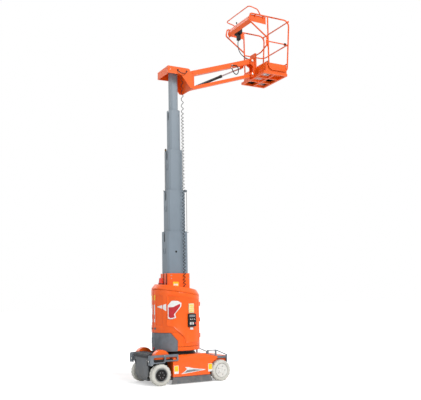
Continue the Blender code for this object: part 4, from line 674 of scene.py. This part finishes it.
def rear_dish(name, face, out, body):
    """The white dish of a rear wheel."""
    profile = [(0, -0.012), (0.120, -0.012), (0.121, 0.0), (0.114, 0.001), (0.098, -0.006), (0.055, -0.006),
               (0.046, 0.0035), (0.020, 0.0035), (0.016, 0.001), (0, 0.001)]
    piece("wheel_dish_" + name, turn(bmesh.new(), profile, face, (0, out, 0), 48), RIM_WHITE, body)
    bolt_ring(name, face, out, 0.074, -0.0058, 5, 0.015, body, ZINC)


def wheels():
    """Tyres, hubs and dishes of the four wheels."""
    for end, hub in (("front", front_hub), ("rear", rear_dish)):
        for side, out in (("R", -1), ("L", 1)):
            name = end + "_tyre_" + side
            body = end + "_wheel_" + side
            low, high = [Vector(corner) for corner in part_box(name)]
            tyre(name, low, high, body)
            rim_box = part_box(end + "_rim_" + side)
            face = (low + high) / 2
            face.y = rim_box[0][1] if out < 0 else rim_box[1][1]
            hub(name, face, out, body)


# The turret's doors; angles are in degrees round the slew axis, counted from +X, on the near side

DOOR_START, DOOR_STOP = 181.4, 321.2
DOOR_LOW = 0.664
NOTCH_TOP = 0.9145
COVER_TOP = 1.635
RUNNING = 0.0055
TOP_SLOPE = 0.16
TOP_STEPS = 28


def top_of_wall(degrees_round):
    """The height of the sloping cap over the wall."""
    return COVER_TOP - RUNNING - TURRET_RADIUS * cos(radians(degrees_round)) * TOP_SLOPE


def door_skins():
    """The moulded relief of both doors: a skin with a sunk rectangle, and a raised panel on it."""
    top = []
    for k in range(TOP_STEPS + 1):
        angle = DOOR_STOP + (DOOR_START - DOOR_STOP) * k / TOP_STEPS
        top.append((arc(angle), top_of_wall(angle) - 0.004))
    low = [(DOOR_START, NOTCH_TOP), (268.0, NOTCH_TOP), (261.5, 0.769), (266.0, DOOR_LOW),
           (DOOR_STOP, DOOR_LOW)]
    low = [(arc(a), z) for a, z in low]
    recess = rectangle(arc(193.0), 1.035, arc(213.4), 1.585, 0.030)
    panel = [(303.7, 0.7345), (311.9, 0.7586), (311.9, 1.500), (303.7, 1.5155), (265.0, 1.553),
             (225.7, 1.590), (224.6, 1.040), (239.2, 1.024), (266.1, 0.8254), (267.2, 0.7252)]
    panel = rounded([(arc(a), z) for a, z in panel], 0.030)
    for side, mirror in (("R", False), ("L", True)):
        bm = cast_plate([low + top, recess], SKIN, 0.0025)
        piece("door_skin_" + side, bend_round(bm, mirror), ORANGE, "door_" + side, angle=40)
        bm = cast_plate([panel], PANEL, slope=0.020)
        piece("door_panel_" + side, bend_round(bm, mirror, SKIN), ORANGE, "door_" + side, angle=40)


def door_decals(side, sign):
    """A plain two-coloured shape without words, blank plates, a latch and the hinge screws of each door."""
    mirror = sign < 0
    door = "door_" + side
    drop = rounded([(227.0, 1.40), (236.0, 1.49), (250.0, 1.487), (258.5, 1.445), (258.0, 1.385),
                    (248.0, 1.29), (243.5, 1.245), (246.5, 1.18), (234.0, 1.155), (227.3, 1.17)], 2.4)
    core = rounded([(229.0, 1.372), (240.0, 1.376), (255.0, 1.435), (255.5, 1.39), (245.5, 1.285),
                    (240.8, 1.24), (243.2, 1.192), (233.0, 1.174), (229.0, 1.20)], 1.4)
    tail = [(214.8, 1.34), (223.0, 1.30), (223.0, 1.435), (214.8, 1.415)]
    tip = [(194.5, 1.384), (212.4, 1.345), (212.4, 1.412)]
    for name, loop, look, lift, height in (
            ("shape_white_", drop, WHITE, ON_PANEL, DECAL),
            ("shape_crimson_", core, CRIMSON, ON_PANEL + OVER, OVERLAY),
            ("shape_tail_", tail, WHITE, ON_SKIN, DECAL),
            ("shape_tip_", tip, WHITE, CLEAR, DECAL),
            ("edge_plate_", rectangle(184.0, 1.10, 188.6, 1.42), WHITE, ON_SKIN, DECAL),
            ("edge_stripe_", rectangle(184.8, 1.16, 187.8, 1.24), CRIMSON, ON_SKIN + OVER, OVERLAY),
            ("edge_yellow_", rectangle(185.0, 1.50, 190.0, 1.60), YELLOW, ON_SKIN, DECAL)):
        wrapped_plate(name + side, loop, look, door, lift, mirror, height)
    latch = cast_plate([rectangle(arc(186.0), 0.968, arc(192.0), 1.0, 0.008)], 0.010, 0.003)
    piece("latch_" + side, bend_round(latch, mirror, SKIN), CHASSIS, door)
    hinge_screws(side, sign, door)


def hinge_screws(side, sign, door):
    """Two screws in the door's leaf of each hinge."""
    angle = radians(319.4)
    reach = TURRET_RADIUS + SKIN
    axis = (cos(angle), sin(angle) * sign, 0)
    places = []
    for z in (0.84, 1.13, 1.42):
        for offset in (-0.014, 0.014):
            places.append((at(SLEW_X + reach * axis[0], reach * axis[1], z + offset), axis, 0.0085))
    bolts("hinge_screws_" + side, places, door, BRIGHT)


# The ground control box on the near door

BOX_FACE_Y = -0.4853
BOX_X = 0.0216
PLATE_MIDDLE = 284.0


def ground_controls():
    """Bezel, display, levers, rockers and stop button of the ground control box."""
    def on_box(bm):
        rule = near(BOX_FACE_Y)
        return place(bm, lambda a, b, h: rule(a + BOX_X, b, h))

    bezel = cast_plate([rectangle(-0.078, 1.017, 0.078, 1.244, 0.014),
                        rectangle(-0.062, 1.120, 0.062, 1.232, 0.008)], 0.004, 0.0012)
    piece("control_bezel", on_box(bezel), PLASTIC, "door_R")
    screen = cast_plate([rectangle(-0.058, 1.186, 0.058, 1.228, 0.004)], 0.0022, 0.0006)
    piece("control_display", on_box(screen), GREY_DECAL, "door_R")
    levers = bmesh.new()
    for offset in (-0.040, 0.0, 0.040):
        turn(levers, [(0, 0), (0.009, 0), (0.009, 0.004), (0.006, 0.006), (0.0045, 0.006), (0.0055, 0.026),
                      (0.004, 0.030), (0, 0.031)], at(BOX_X + offset, BOX_FACE_Y, 1.150), (0, -1, -0.35), 16)
    piece("control_levers", levers, BRIGHT, "door_R")
    keys = bmesh.new()
    for offset in (-0.044, -0.015, 0.015):
        middle = BOX_X + offset
        slab(keys, at(middle - 0.009, BOX_FACE_Y - 0.010, 1.050),
             at(middle + 0.009, BOX_FACE_Y - 0.003, 1.096))
    piece("control_rockers", keys, WHITE, "door_R", width=0.002)
    stop = [(0, 0), (0.017, 0), (0.017, 0.010), (0.013, 0.013), (0, 0.013)]
    foot = at(BOX_X + 0.050, BOX_FACE_Y, 1.072)
    piece("control_stop_ring", turn(bmesh.new(), stop, foot, (0, -1, 0), 28), HUB_BLACK, "door_R")
    head = [(0, 0), (0.012, 0), (0.015, 0.004), (0.015, 0.009), (0.010, 0.013), (0, 0.014)]
    top = foot + Vector((0, -0.013, 0))
    piece("control_stop", turn(bmesh.new(), head, top, (0, -1, 0), 28), RED, "door_R")


def control_plates():
    """Blank plates over and under the ground control box."""
    left, right = PLATE_MIDDLE - 7.8, PLATE_MIDDLE + 7.8
    plate = rectangle(left, 1.262, right, 1.432, 0.010)
    wrapped_plate("plate_over_controls", plate, CREAM, "door_R", ON_PANEL)
    left, right = PLATE_MIDDLE - 6.2, PLATE_MIDDLE + 6.2
    for row in range(4):
        low = 1.285 + 0.036 * row
        wrapped_plate("plate_band_%d" % row, rectangle(left, low, right, low + 0.016), YELLOW, "door_R",
                      ON_PANEL + OVER, height=OVERLAY)
    left, right = PLATE_MIDDLE - 4.4, PLATE_MIDDLE + 4.4
    wrapped_plate("plate_under_controls", rectangle(left, 0.958, right, 1.002), WHITE, "door_R", ON_PANEL)


# The chassis


def side_marks(side, sign):
    """The plain stripe and the blank plates on the chassis side."""
    def mark(name, loop, look, step=0.0):
        bm = place(cast_plate([loop], DECAL), near(-(CHASSIS_SIDE_Y + CLEAR) - step))
        piece(name + "_" + side, mirrored(bm, sign), look, "chassis")

    mark("stripe_white", [(-0.215, 0.178), (0.275, 0.222), (0.285, 0.232), (0.06, 0.262), (-0.06, 0.292),
                          (-0.14, 0.300), (-0.09, 0.262), (-0.15, 0.215)], WHITE)
    mark("stripe_grey", [(-0.165, 0.196), (0.225, 0.226), (0.05, 0.248), (-0.09, 0.243), (-0.125, 0.215)],
         GREY_DECAL, OVER)
    for k, (a, b) in enumerate(((-0.350, 0.190), (0.340, 0.186))):
        mark("side_plate_white_%d" % k, rectangle(a, b, a + 0.088, b + 0.143, 0.006), WHITE)
        inner = rectangle(a + 0.006, b + 0.040, a + 0.082, b + 0.137, 0.004)
        mark("side_plate_yellow_%d" % k, inner, YELLOW, OVER)


def front_details(side, sign):
    """Lamp and bolts of the steering bracket; a near-black plate of painted shade in the slot of the nose
    panel, and the panel's bolts.
    """
    lamp_at = at(-0.8167, -0.402 * sign, 0.432)
    forward = (-1, 0, 0)
    bezel = [(0, 0), (0.0245, 0), (0.0245, 0.004), (0.021, 0.0055), (0.0195, 0.003), (0, 0.003)]
    piece("lamp_bezel_" + side, turn(bmesh.new(), bezel, lamp_at, forward, 32), HUB_BLACK, "chassis")
    glass = [(0, 0.002), (0.0185, 0.002), (0.017, 0.007), (0.010, 0.0095), (0, 0.010)]
    piece("lamp_glass_" + side, turn(bmesh.new(), glass, lamp_at, forward, 32), WHITE, "chassis")
    # The nose panel's slot is a thin near-black plate: painted shade for the opening.
    slot = cast_plate([rounded([(-0.300, 0.405), (-0.286, 0.340), (-0.252, 0.340), (-0.266, 0.425),
                                (-0.292, 0.432)], 0.010)], 0.0012)
    nose = NOSE_X - CLEAR
    piece("panel_slot_" + side, mirrored(place(slot, front(nose)), sign), HOLE_SHADE, "chassis")
    places = [(at(nose, -0.25 * sign, z), forward, 0.012) for z in (0.14, 0.44)]
    bolts("panel_bolts_" + side, places, "chassis")
    places = [(at(x, -BRACKET_Y * sign, z), (0, -sign, 0), size)
              for x, z, size in ((-0.79, 0.378, 0.013), (-0.2865, 0.468, 0.013), (-0.545, 0.525, 0.012))]
    bolts("bracket_bolts_" + side, places, "chassis")


def cover_ribs():
    """Ribs across the dark cover on the nose."""
    ribs = bmesh.new()
    spots = [(-0.8105, 0.497), (-0.8085, 0.5195), (-0.797, 0.541), (-0.7775, 0.5535)]
    spots += [(-0.7525 + 0.0255 * k, 0.5563) for k in range(6)]
    for x, z in spots:
        sweep(ribs, [at(x, y, z) for y in (-0.318, 0.0, 0.318)], 0.0042, 10)
    piece("cover_ribs", ribs, COVER, "chassis")


TAG_LOW = 0.600


def weight_details():
    """The raised frames and bars of the counterweight, and its red tag."""
    for side, mirror in (("R", False), ("L", True)):
        wrapped_plate("weight_frame_" + side, rectangle(188.0, 0.70, 208.0, 0.81), CAST, "turret", 0.0,
                      mirror, 0.004, hole=rectangle(190.0, 0.712, 206.0, 0.798))
        wrapped_plate("weight_bar_" + side, rectangle(188.0, 0.665, 208.0, 0.675), CAST, "turret", 0.0,
                      mirror, 0.005)
    tag = cast_plate([rectangle(-0.022, 0.0, 0.022, 0.045, 0.008)], 0.008, 0.002)
    tag = place(tag, lambda a, b, h: at(SLEW_X - TURRET_RADIUS - 0.0005 - h, a, b + TAG_LOW))
    piece("weight_tag", tag, RED, "turret")


# The mast

HOSE_X, HOSE_Y = 0.1335, -0.085
ROPE_X, ROPE_Y = -0.2525, 0.062
SHEAVE_Y, SHEAVE_Z = 0.040, 4.4010
PAD_INSET = 0.05


def collar_details():
    """Plates, bolts, and a near-black plate of painted shade in the slot of the orange collar."""
    low, high = own_box("mast_outer")
    plate = cast_plate([rectangle(-0.215, 1.757, -0.095, 1.838, 0.008)], DECAL)
    piece("collar_plate", place(plate, near(low.y - CLEAR)), YELLOW, "turret")
    mark = cast_plate([rectangle(-0.200, 1.770, -0.110, 1.800, 0.006)], OVERLAY)
    piece("collar_mark", place(mark, near(low.y - CLEAR - OVER)), WHITE, "turret")
    # The slot in the collar's -X face is a thin near-black plate: painted shade for the opening.
    slot = cast_plate([rectangle(-0.150, 1.770, -0.118, 1.990, 0.006)], 0.0010)
    piece("collar_slot_shade", place(slot, front(low.x - CLEAR)), HOLE_SHADE, "turret")
    places = [(at(x, sign * (high.y + CLEAR), z), (0, sign, 0), 0.013) for sign in (-1, 1)
              for x in (-0.245, 0.125) for z in (1.90, 1.955)]
    bolts("collar_bolts", places, "turret")


def stage_details():
    """Near-black plates of painted shade in the slots and the hole, pad bolts and arches of the mast's
    sections.
    """
    for k in (5, 4, 3, 2):
        low, high = own_box("mast_stage_%d" % k)
        body = "stage_%d" % k
        # Each section's slot is a thin near-black plate: painted shade for the opening.
        slot = cast_plate([rectangle(-0.010, high.z - 0.20, 0.014, high.z - 0.045, 0.006)], DECAL)
        piece("stage_slot_%d" % k, place(slot, front(low.x - HAIR)), HOLE_SHADE, body)
        places = [(at(x, sign * (high.y + HAIR), high.z - 0.035), (0, sign, 0), 0.0055)
                  for x in (low.x + PAD_INSET, high.x - PAD_INSET) for sign in (-1, 1)]
        bolts("pad_bolts_%d" % k, places, body)
    # The hole in stage 5 is a near-black disc: painted shade for the opening.
    dot = cast_plate([circle(-0.129, 2.408, 0.020)], DECAL)
    piece("stage_hole_5", place(dot, near(own_box("mast_stage_5")[0].y - HAIR)), HOLE_SHADE, "stage_5")
    for k, z in ((5, 2.43), (4, 3.24), (3, 4.06)):
        x = own_box("mast_stage_%d" % k)[0].x - 0.002
        angles = [pi + pi * step / 16 for step in range(17)]
        path = [at(x, 0.048 * cos(angle), z + 0.060 * sin(angle)) for angle in angles]
        path = [at(x, -0.048, z + 0.05)] + path + [at(x, 0.048, z + 0.05)]
        piece("stage_arch_%d" % k, sweep(bmesh.new(), path, 0.0024, 8), CHASSIS, "stage_%d" % k)


def mast_hose():
    """The hose from the edge of stage 5 up to its bracket on stage 4."""
    clamp = cast_plate([rounded([(0.0912, 3.571), (0.132, 3.571), (0.142, 3.582), (0.138, 3.613),
                                 (0.0912, 3.622)], 0.006)], 0.030, 0.002)
    piece("hose_bracket", place(clamp, near(-0.070)), CHASSIS, "stage_4")
    path = smooth_path([at(HOSE_X, HOSE_Y, z) for z in (2.790, 2.95, 3.1, 3.25, 3.4, 3.570)], 4)
    hose = piece("mast_hose", sweep(bmesh.new(), path, 0.0042, 10), CABLE, None)
    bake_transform(hose)
    foot = [(0, 0), (0.008, 0), (0.006, 0.004), (0.006, 0.026), (0.008, 0.029), (0.008, 0.038), (0, 0.038)]
    foot = turn(bmesh.new(), foot, at(0.1253, HOSE_Y, 2.786), (1, 0, 0), 20)
    piece("hose_foot", foot, ZINC, "stage_5")


def mast_rope():
    """The rope in front of stage 3, from its eye on stage 4 to its sheave."""
    path = smooth_path([at(ROPE_X, ROPE_Y, z) for z in (3.60, 3.8, 4.0, 4.2, 4.375)], 4)
    rope = piece("mast_rope", sweep(bmesh.new(), path, 0.0050, 10), HUB_BLACK, None)
    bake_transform(rope)
    angles = [2 * pi * step / 20 for step in range(21)]
    loop = [at(-0.278 + 0.010 * cos(angle), ROPE_Y + 0.022 * sin(angle), 3.592 + 0.014 * sin(angle))
            for angle in angles]
    piece("rope_eye", sweep(bmesh.new(), loop, 0.0035, 8), HUB_BLACK, "stage_4")
    sheave = [(0, 0), (0.030, 0), (0.030, 0.004), (0.025, 0.008), (0.030, 0.012), (0.030, 0.016), (0, 0.016)]
    sheave = turn(bmesh.new(), sheave, at(-0.2373, SHEAVE_Y, SHEAVE_Z), (-1, 0, 0), 32)
    piece("mast_sheave", sheave, HUB_BLACK, "stage_3")
    hub = [(0, 0), (0.013, 0), (0.013, 0.004), (0, 0.005)]
    hub = turn(bmesh.new(), hub, at(-0.2533, SHEAVE_Y, SHEAVE_Z), (-1, 0, 0), 20)
    piece("mast_sheave_hub", hub, GOLD, "stage_3")


# The head and the jib

ROD_WAY = Vector((0.889174, 0.0, 0.457569))
ROD_MOUTH = at(0.315, 0.130, 5.725) + ROD_WAY * 0.880


def head_details():
    """Bolts of the mast's head, and the short hose on its near side."""
    spots = ((0.176, 5.986), (-0.074, 5.93), (-0.26, 5.96))
    places = [(at(x, sign * 0.2501, z), (0, sign, 0), 0.012) for x, z in spots for sign in (-1, 1)]
    bolts("head_bolts", places, "stage_1", BRIGHT)
    path = smooth_path([at(-0.10, -0.2525, 5.965), at(-0.085, -0.275, 5.93), at(-0.04, -0.285, 5.905),
                        at(0.03, -0.285, 5.905), at(0.075, -0.272, 5.93), at(0.095, -0.2525, 5.965)], 5)
    piece("head_hose", sweep(bmesh.new(), path, 0.008, 12), CABLE, "stage_1")
    gland = [(0, 0), (0.015, 0), (0.015, 0.010), (0.011, 0.014), (0, 0.014)]
    ends = bmesh.new()
    for x in (-0.10, 0.095):
        turn(ends, gland, at(x, -0.2503, 5.965), (0, -1, 0), 20)
    piece("head_hose_glands", ends, HUB_BLACK, "stage_1")


def jib_details():
    """Caps of the basket's pins, the hose loop under the upper arm, and the cylinder's gland."""
    cap = [(0, 0), (0.024, 0), (0.024, 0.004), (0.014, 0.006), (0.014, 0.011), (0.012, 0.013), (0, 0.013)]
    caps = bmesh.new()
    for z in (6.2034, 6.4984):
        for sign in (-1, 1):
            turn(caps, cap, at(1.7367, sign * 0.1002, z), (0, sign, 0), 28)
    piece("basket_pin_caps", caps, BRIGHT, "basket")
    loop = smooth_path([at(1.250, -0.0705, 6.328), at(1.32, -0.0715, 6.335), at(1.372, -0.072, 6.322),
                        at(1.398, -0.072, 6.268), at(1.396, -0.072, 6.203), at(1.372, -0.072, 6.158),
                        at(1.332, -0.0715, 6.144), at(1.292, -0.071, 6.168), at(1.262, -0.0705, 6.218),
                        at(1.235, -0.0705, 6.273)], 5)
    piece("jib_hose", sweep(bmesh.new(), loop, 0.0100, 12), CABLE, "jib_upper")
    clamps = bmesh.new()
    for x, z in ((1.250, 6.328), (1.235, 6.273)):
        slab(clamps, at(x - 0.013, -0.0815, z - 0.013), at(x + 0.013, -0.0602, z + 0.013))
    piece("jib_hose_clamps", clamps, STEEL, "jib_upper", width=0.002)
    collar = [(0.0168, 0.0003), (0.0330, 0.0003), (0.0330, 0.009), (0.026, 0.013), (0.0168, 0.013)]
    piece("cylinder_gland", turned_ring(collar, ROD_MOUTH, ROD_WAY, 28), BRIGHT, "jib_barrel")


# The basket

TRAY_TOP = 7.3452
CONTROLS_X = 1.560
GRATING_BARS = 27
GRATING_RODS = 8
GRATING_EDGE = 0.003


def spread(low, high, count):
    """Evenly spread places between two ends, each a little way in."""
    first = low + GRATING_EDGE
    return [first + (high - low - 2 * GRATING_EDGE) * k / (count - 1) for k in range(count)]


def grating_bars():
    """The open floor grating: bearing bars with cross rods."""
    low, high = [Vector(corner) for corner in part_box("floor_grating")]
    bars = bmesh.new()
    for y in spread(low.y, high.y, GRATING_BARS):
        slab(bars, (low.x, y - 0.002, low.z), (high.x, y + 0.002, high.z))
    for x in spread(low.x, high.x, GRATING_RODS):
        slab(bars, (x - 0.0025, low.y, low.z + 0.001), (x + 0.0025, high.y, high.z - 0.0006))
    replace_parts(piece("grating_bars", bars, GRATING, "basket"), "floor_grating")


def joystick():
    """The joystick on the platform's control box."""
    boot = [(0, 0), (0.030, 0), (0.030, 0.003), (0.024, 0.008), (0.020, 0.013), (0.016, 0.020),
            (0.008, 0.026), (0.006, 0.055), (0.013, 0.062), (0.015, 0.080), (0.010, 0.092), (0, 0.094)]
    boot = turn(bmesh.new(), boot, at(CONTROLS_X, 0.205, TRAY_TOP), (-0.12, 0, 1), 28)
    piece("joystick", boot, PLASTIC, "basket")


def console_flanges():
    """The flanges that carry the control tray."""
    inner, outer = 0.4525, 0.4720
    for side, low, high in (("R", -outer, -inner), ("L", inner, outer)):
        flange = slab(bmesh.new(), at(1.507, low, 7.3355), at(1.868, high, 7.3425))
        piece("console_flange_" + side, flange, ORANGE_HIGH, "basket", width=0.0015)


def platform_controls():
    """Stop button and switches on the platform's control box, and its cable."""
    stop = [(0, 0), (0.017, 0), (0.017, 0.006), (0.013, 0.008), (0.013, 0.014), (0.019, 0.018),
            (0.019, 0.025), (0.012, 0.029), (0, 0.029)]
    stop = turn(bmesh.new(), stop, at(CONTROLS_X, 0.110, TRAY_TOP), (0, 0, 1), 28)
    piece("platform_stop", stop, RED, "basket")
    keys = bmesh.new()
    for y in (0.0, -0.05, -0.10):
        turn(keys, [(0, 0), (0.008, 0), (0.008, 0.004), (0.0035, 0.006), (0.0045, 0.024), (0, 0.026)],
             at(CONTROLS_X, y, TRAY_TOP), (0.2, 0, 1), 16)
    piece("platform_switches", keys, BRIGHT, "basket")
    path = smooth_path([at(1.560, 0.165, 7.010), at(1.558, 0.180, 6.94), at(1.575, 0.190, 6.83),
                        at(1.630, 0.192, 6.73), at(1.71, 0.188, 6.67), at(1.78, 0.170, 6.635),
                        at(1.815, 0.135, 6.615), at(1.823, 0.101, 6.61)], 6)
    piece("control_cable", sweep(bmesh.new(), path, 0.0085, 12), CABLE, "basket")


def gate_stopper():
    """The stopper on the gate's bar."""
    sleeve = [(0.0135, 0.0), (0.024, 0.0), (0.026, 0.004), (0.026, 0.040), (0.024, 0.044), (0.0135, 0.044)]
    sleeve = turned_ring(sleeve, at(2.334, -0.435, 6.840), (1, 0, 0), 24)
    piece("gate_stopper", sleeve, HUB_BLACK, "gate")


def beacon_details():
    """Base and cap of the beacon."""
    base = [(0, -0.0006), (0.0515, -0.0006), (0.0525, 0.004), (0.0525, 0.030), (0.0485, 0.038),
            (0.0445, 0.0425), (0, 0.0425)]
    base = turn(bmesh.new(), base, at(-0.405, -0.040, 1.7783), (0, 0, 1), 36)
    piece("beacon_base", base, HUB_BLACK, "turret")
    cap = [(0, 0), (0.026, 0), (0.024, 0.004), (0.014, 0.007), (0, 0.008)]
    cap = turn(bmesh.new(), cap, at(-0.405, -0.040, 1.9100), (0, 0, 1), 32)
    piece("beacon_cap", cap, GREY_DECAL, "turret")


# The studio

FLOOR_REACH = 60
FLOOR_GLOW = 0.45
AMBIENT = 0.46


def math_node(nodes, operation):
    """A shader node for one arithmetic operation."""
    node = nodes.new("ShaderNodeMath")
    node.operation = operation
    return node


def floor_look():
    """A white floor that keeps the shadow, and is plain white where the lamps light it fully."""
    made = bpy.data.materials.new("studio_white")
    made.use_nodes = True
    nodes = made.node_tree.nodes
    links = made.node_tree.links
    shader = nodes["Principled BSDF"]
    shader.inputs["Base Color"].default_value = (0.86, 0.86, 0.86, 1)
    shader.inputs["Roughness"].default_value = 0.9
    shader.inputs["Specular IOR Level"].default_value = 0.0
    shader.inputs["Emission Color"].default_value = (1, 1, 1, 1)
    path = nodes.new("ShaderNodeLightPath")
    seen = math_node(nodes, "MULTIPLY")
    seen.inputs[1].default_value = FLOOR_GLOW
    links.new(path.outputs["Is Camera Ray"], seen.inputs[0])
    links.new(seen.outputs["Value"], shader.inputs["Emission Strength"])
    return made


def floor():
    """The studio's floor."""
    bm = slab(bmesh.new(), (-FLOOR_REACH, -FLOOR_REACH, -0.02), (FLOOR_REACH, FLOOR_REACH, 0.0))
    mesh = bpy.data.meshes.new("studio_floor")
    bm.to_mesh(mesh)
    bm.free()
    mesh.materials.append(floor_look())
    studio_floor = bpy.data.objects.new("studio_floor", mesh)
    bpy.context.collection.objects.link(studio_floor)


def world():
    """A white surrounding, seen in full by the camera and in mirrors and glass, and dimmer as a light."""
    made = bpy.data.worlds.new("studio")
    made.use_nodes = True
    nodes = made.node_tree.nodes
    links = made.node_tree.links
    nodes.clear()
    out = nodes.new("ShaderNodeOutputWorld")
    back = nodes.new("ShaderNodeBackground")
    back.inputs["Color"].default_value = (1, 1, 1, 1)
    path = nodes.new("ShaderNodeLightPath")
    seen = math_node(nodes, "MAXIMUM")
    links.new(path.outputs["Is Camera Ray"], seen.inputs[0])
    links.new(path.outputs["Is Transmission Ray"], seen.inputs[1])
    glossy = math_node(nodes, "MAXIMUM")
    links.new(seen.outputs["Value"], glossy.inputs[0])
    links.new(path.outputs["Is Glossy Ray"], glossy.inputs[1])
    level = nodes.new("ShaderNodeMapRange")
    level.inputs["To Min"].default_value = AMBIENT
    level.inputs["To Max"].default_value = 1.0
    links.new(glossy.outputs["Value"], level.inputs["Value"])
    links.new(level.outputs["Result"], back.inputs["Strength"])
    links.new(back.outputs["Background"], out.inputs["Surface"])
    bpy.context.scene.world = made


def lamp(name, direction, softness, strength):
    """A distant soft lamp, whose light falls along the direction."""
    data = bpy.data.lights.new(name, "SUN")
    data.angle = radians(softness)
    data.energy = strength
    obj = bpy.data.objects.new(name, data)
    obj.rotation_euler = Vector(direction).to_track_quat("-Z", "Y").to_euler()
    bpy.context.collection.objects.link(obj)


# The camera's place, angles in degrees and lens in millimetres, fitted to points of the photograph
CAMERA_AT = (-5.4811, -11.4011, 1.6132)
CAMERA_YAW, CAMERA_PITCH, CAMERA_ROLL = -28.5112, 8.1026, -1.0959
CAMERA_LENS = 55.977


def camera():
    """The camera of the photograph."""
    data = bpy.data.cameras.new("camera")
    data.sensor_width = 36.0
    data.lens = CAMERA_LENS
    data.clip_end = 300
    obj = bpy.data.objects.new("camera", data)
    yaw, pitch, roll = [radians(angle) for angle in (CAMERA_YAW, CAMERA_PITCH, CAMERA_ROLL)]
    ahead = Vector((-sin(yaw) * cos(pitch), cos(yaw) * cos(pitch), sin(pitch)))
    level = Vector((cos(yaw), sin(yaw), 0))
    upright = level.cross(ahead)
    right = level * cos(roll) + upright * sin(roll)
    upward = upright * cos(roll) - level * sin(roll)
    turned = Matrix((right, upward, -ahead)).transposed().to_4x4()
    obj.matrix_world = Matrix.Translation(at(*CAMERA_AT)) @ turned
    bpy.context.collection.objects.link(obj)
    bpy.context.scene.camera = obj


dress_nodes()
coil()
wheels()
door_skins()
ground_controls()
control_plates()
both(door_decals)
both(side_marks)
both(front_details)
cover_ribs()
weight_details()
collar_details()
stage_details()
mast_hose()
mast_rope()
head_details()
jib_details()
grating_bars()
joystick()
console_flanges()
platform_controls()
gate_stopper()
beacon_details()
floor()
world()
lamp("key", (-0.25, 1.0, -0.75), 22, 2.1)
lamp("fill", (1.0, 0.35, -0.4), 40, 0.35)
lamp("back_light", (0.1, -1.0, -0.8), 40, 0.6)
camera()
bpy.context.scene.view_settings.view_transform = "Standard"
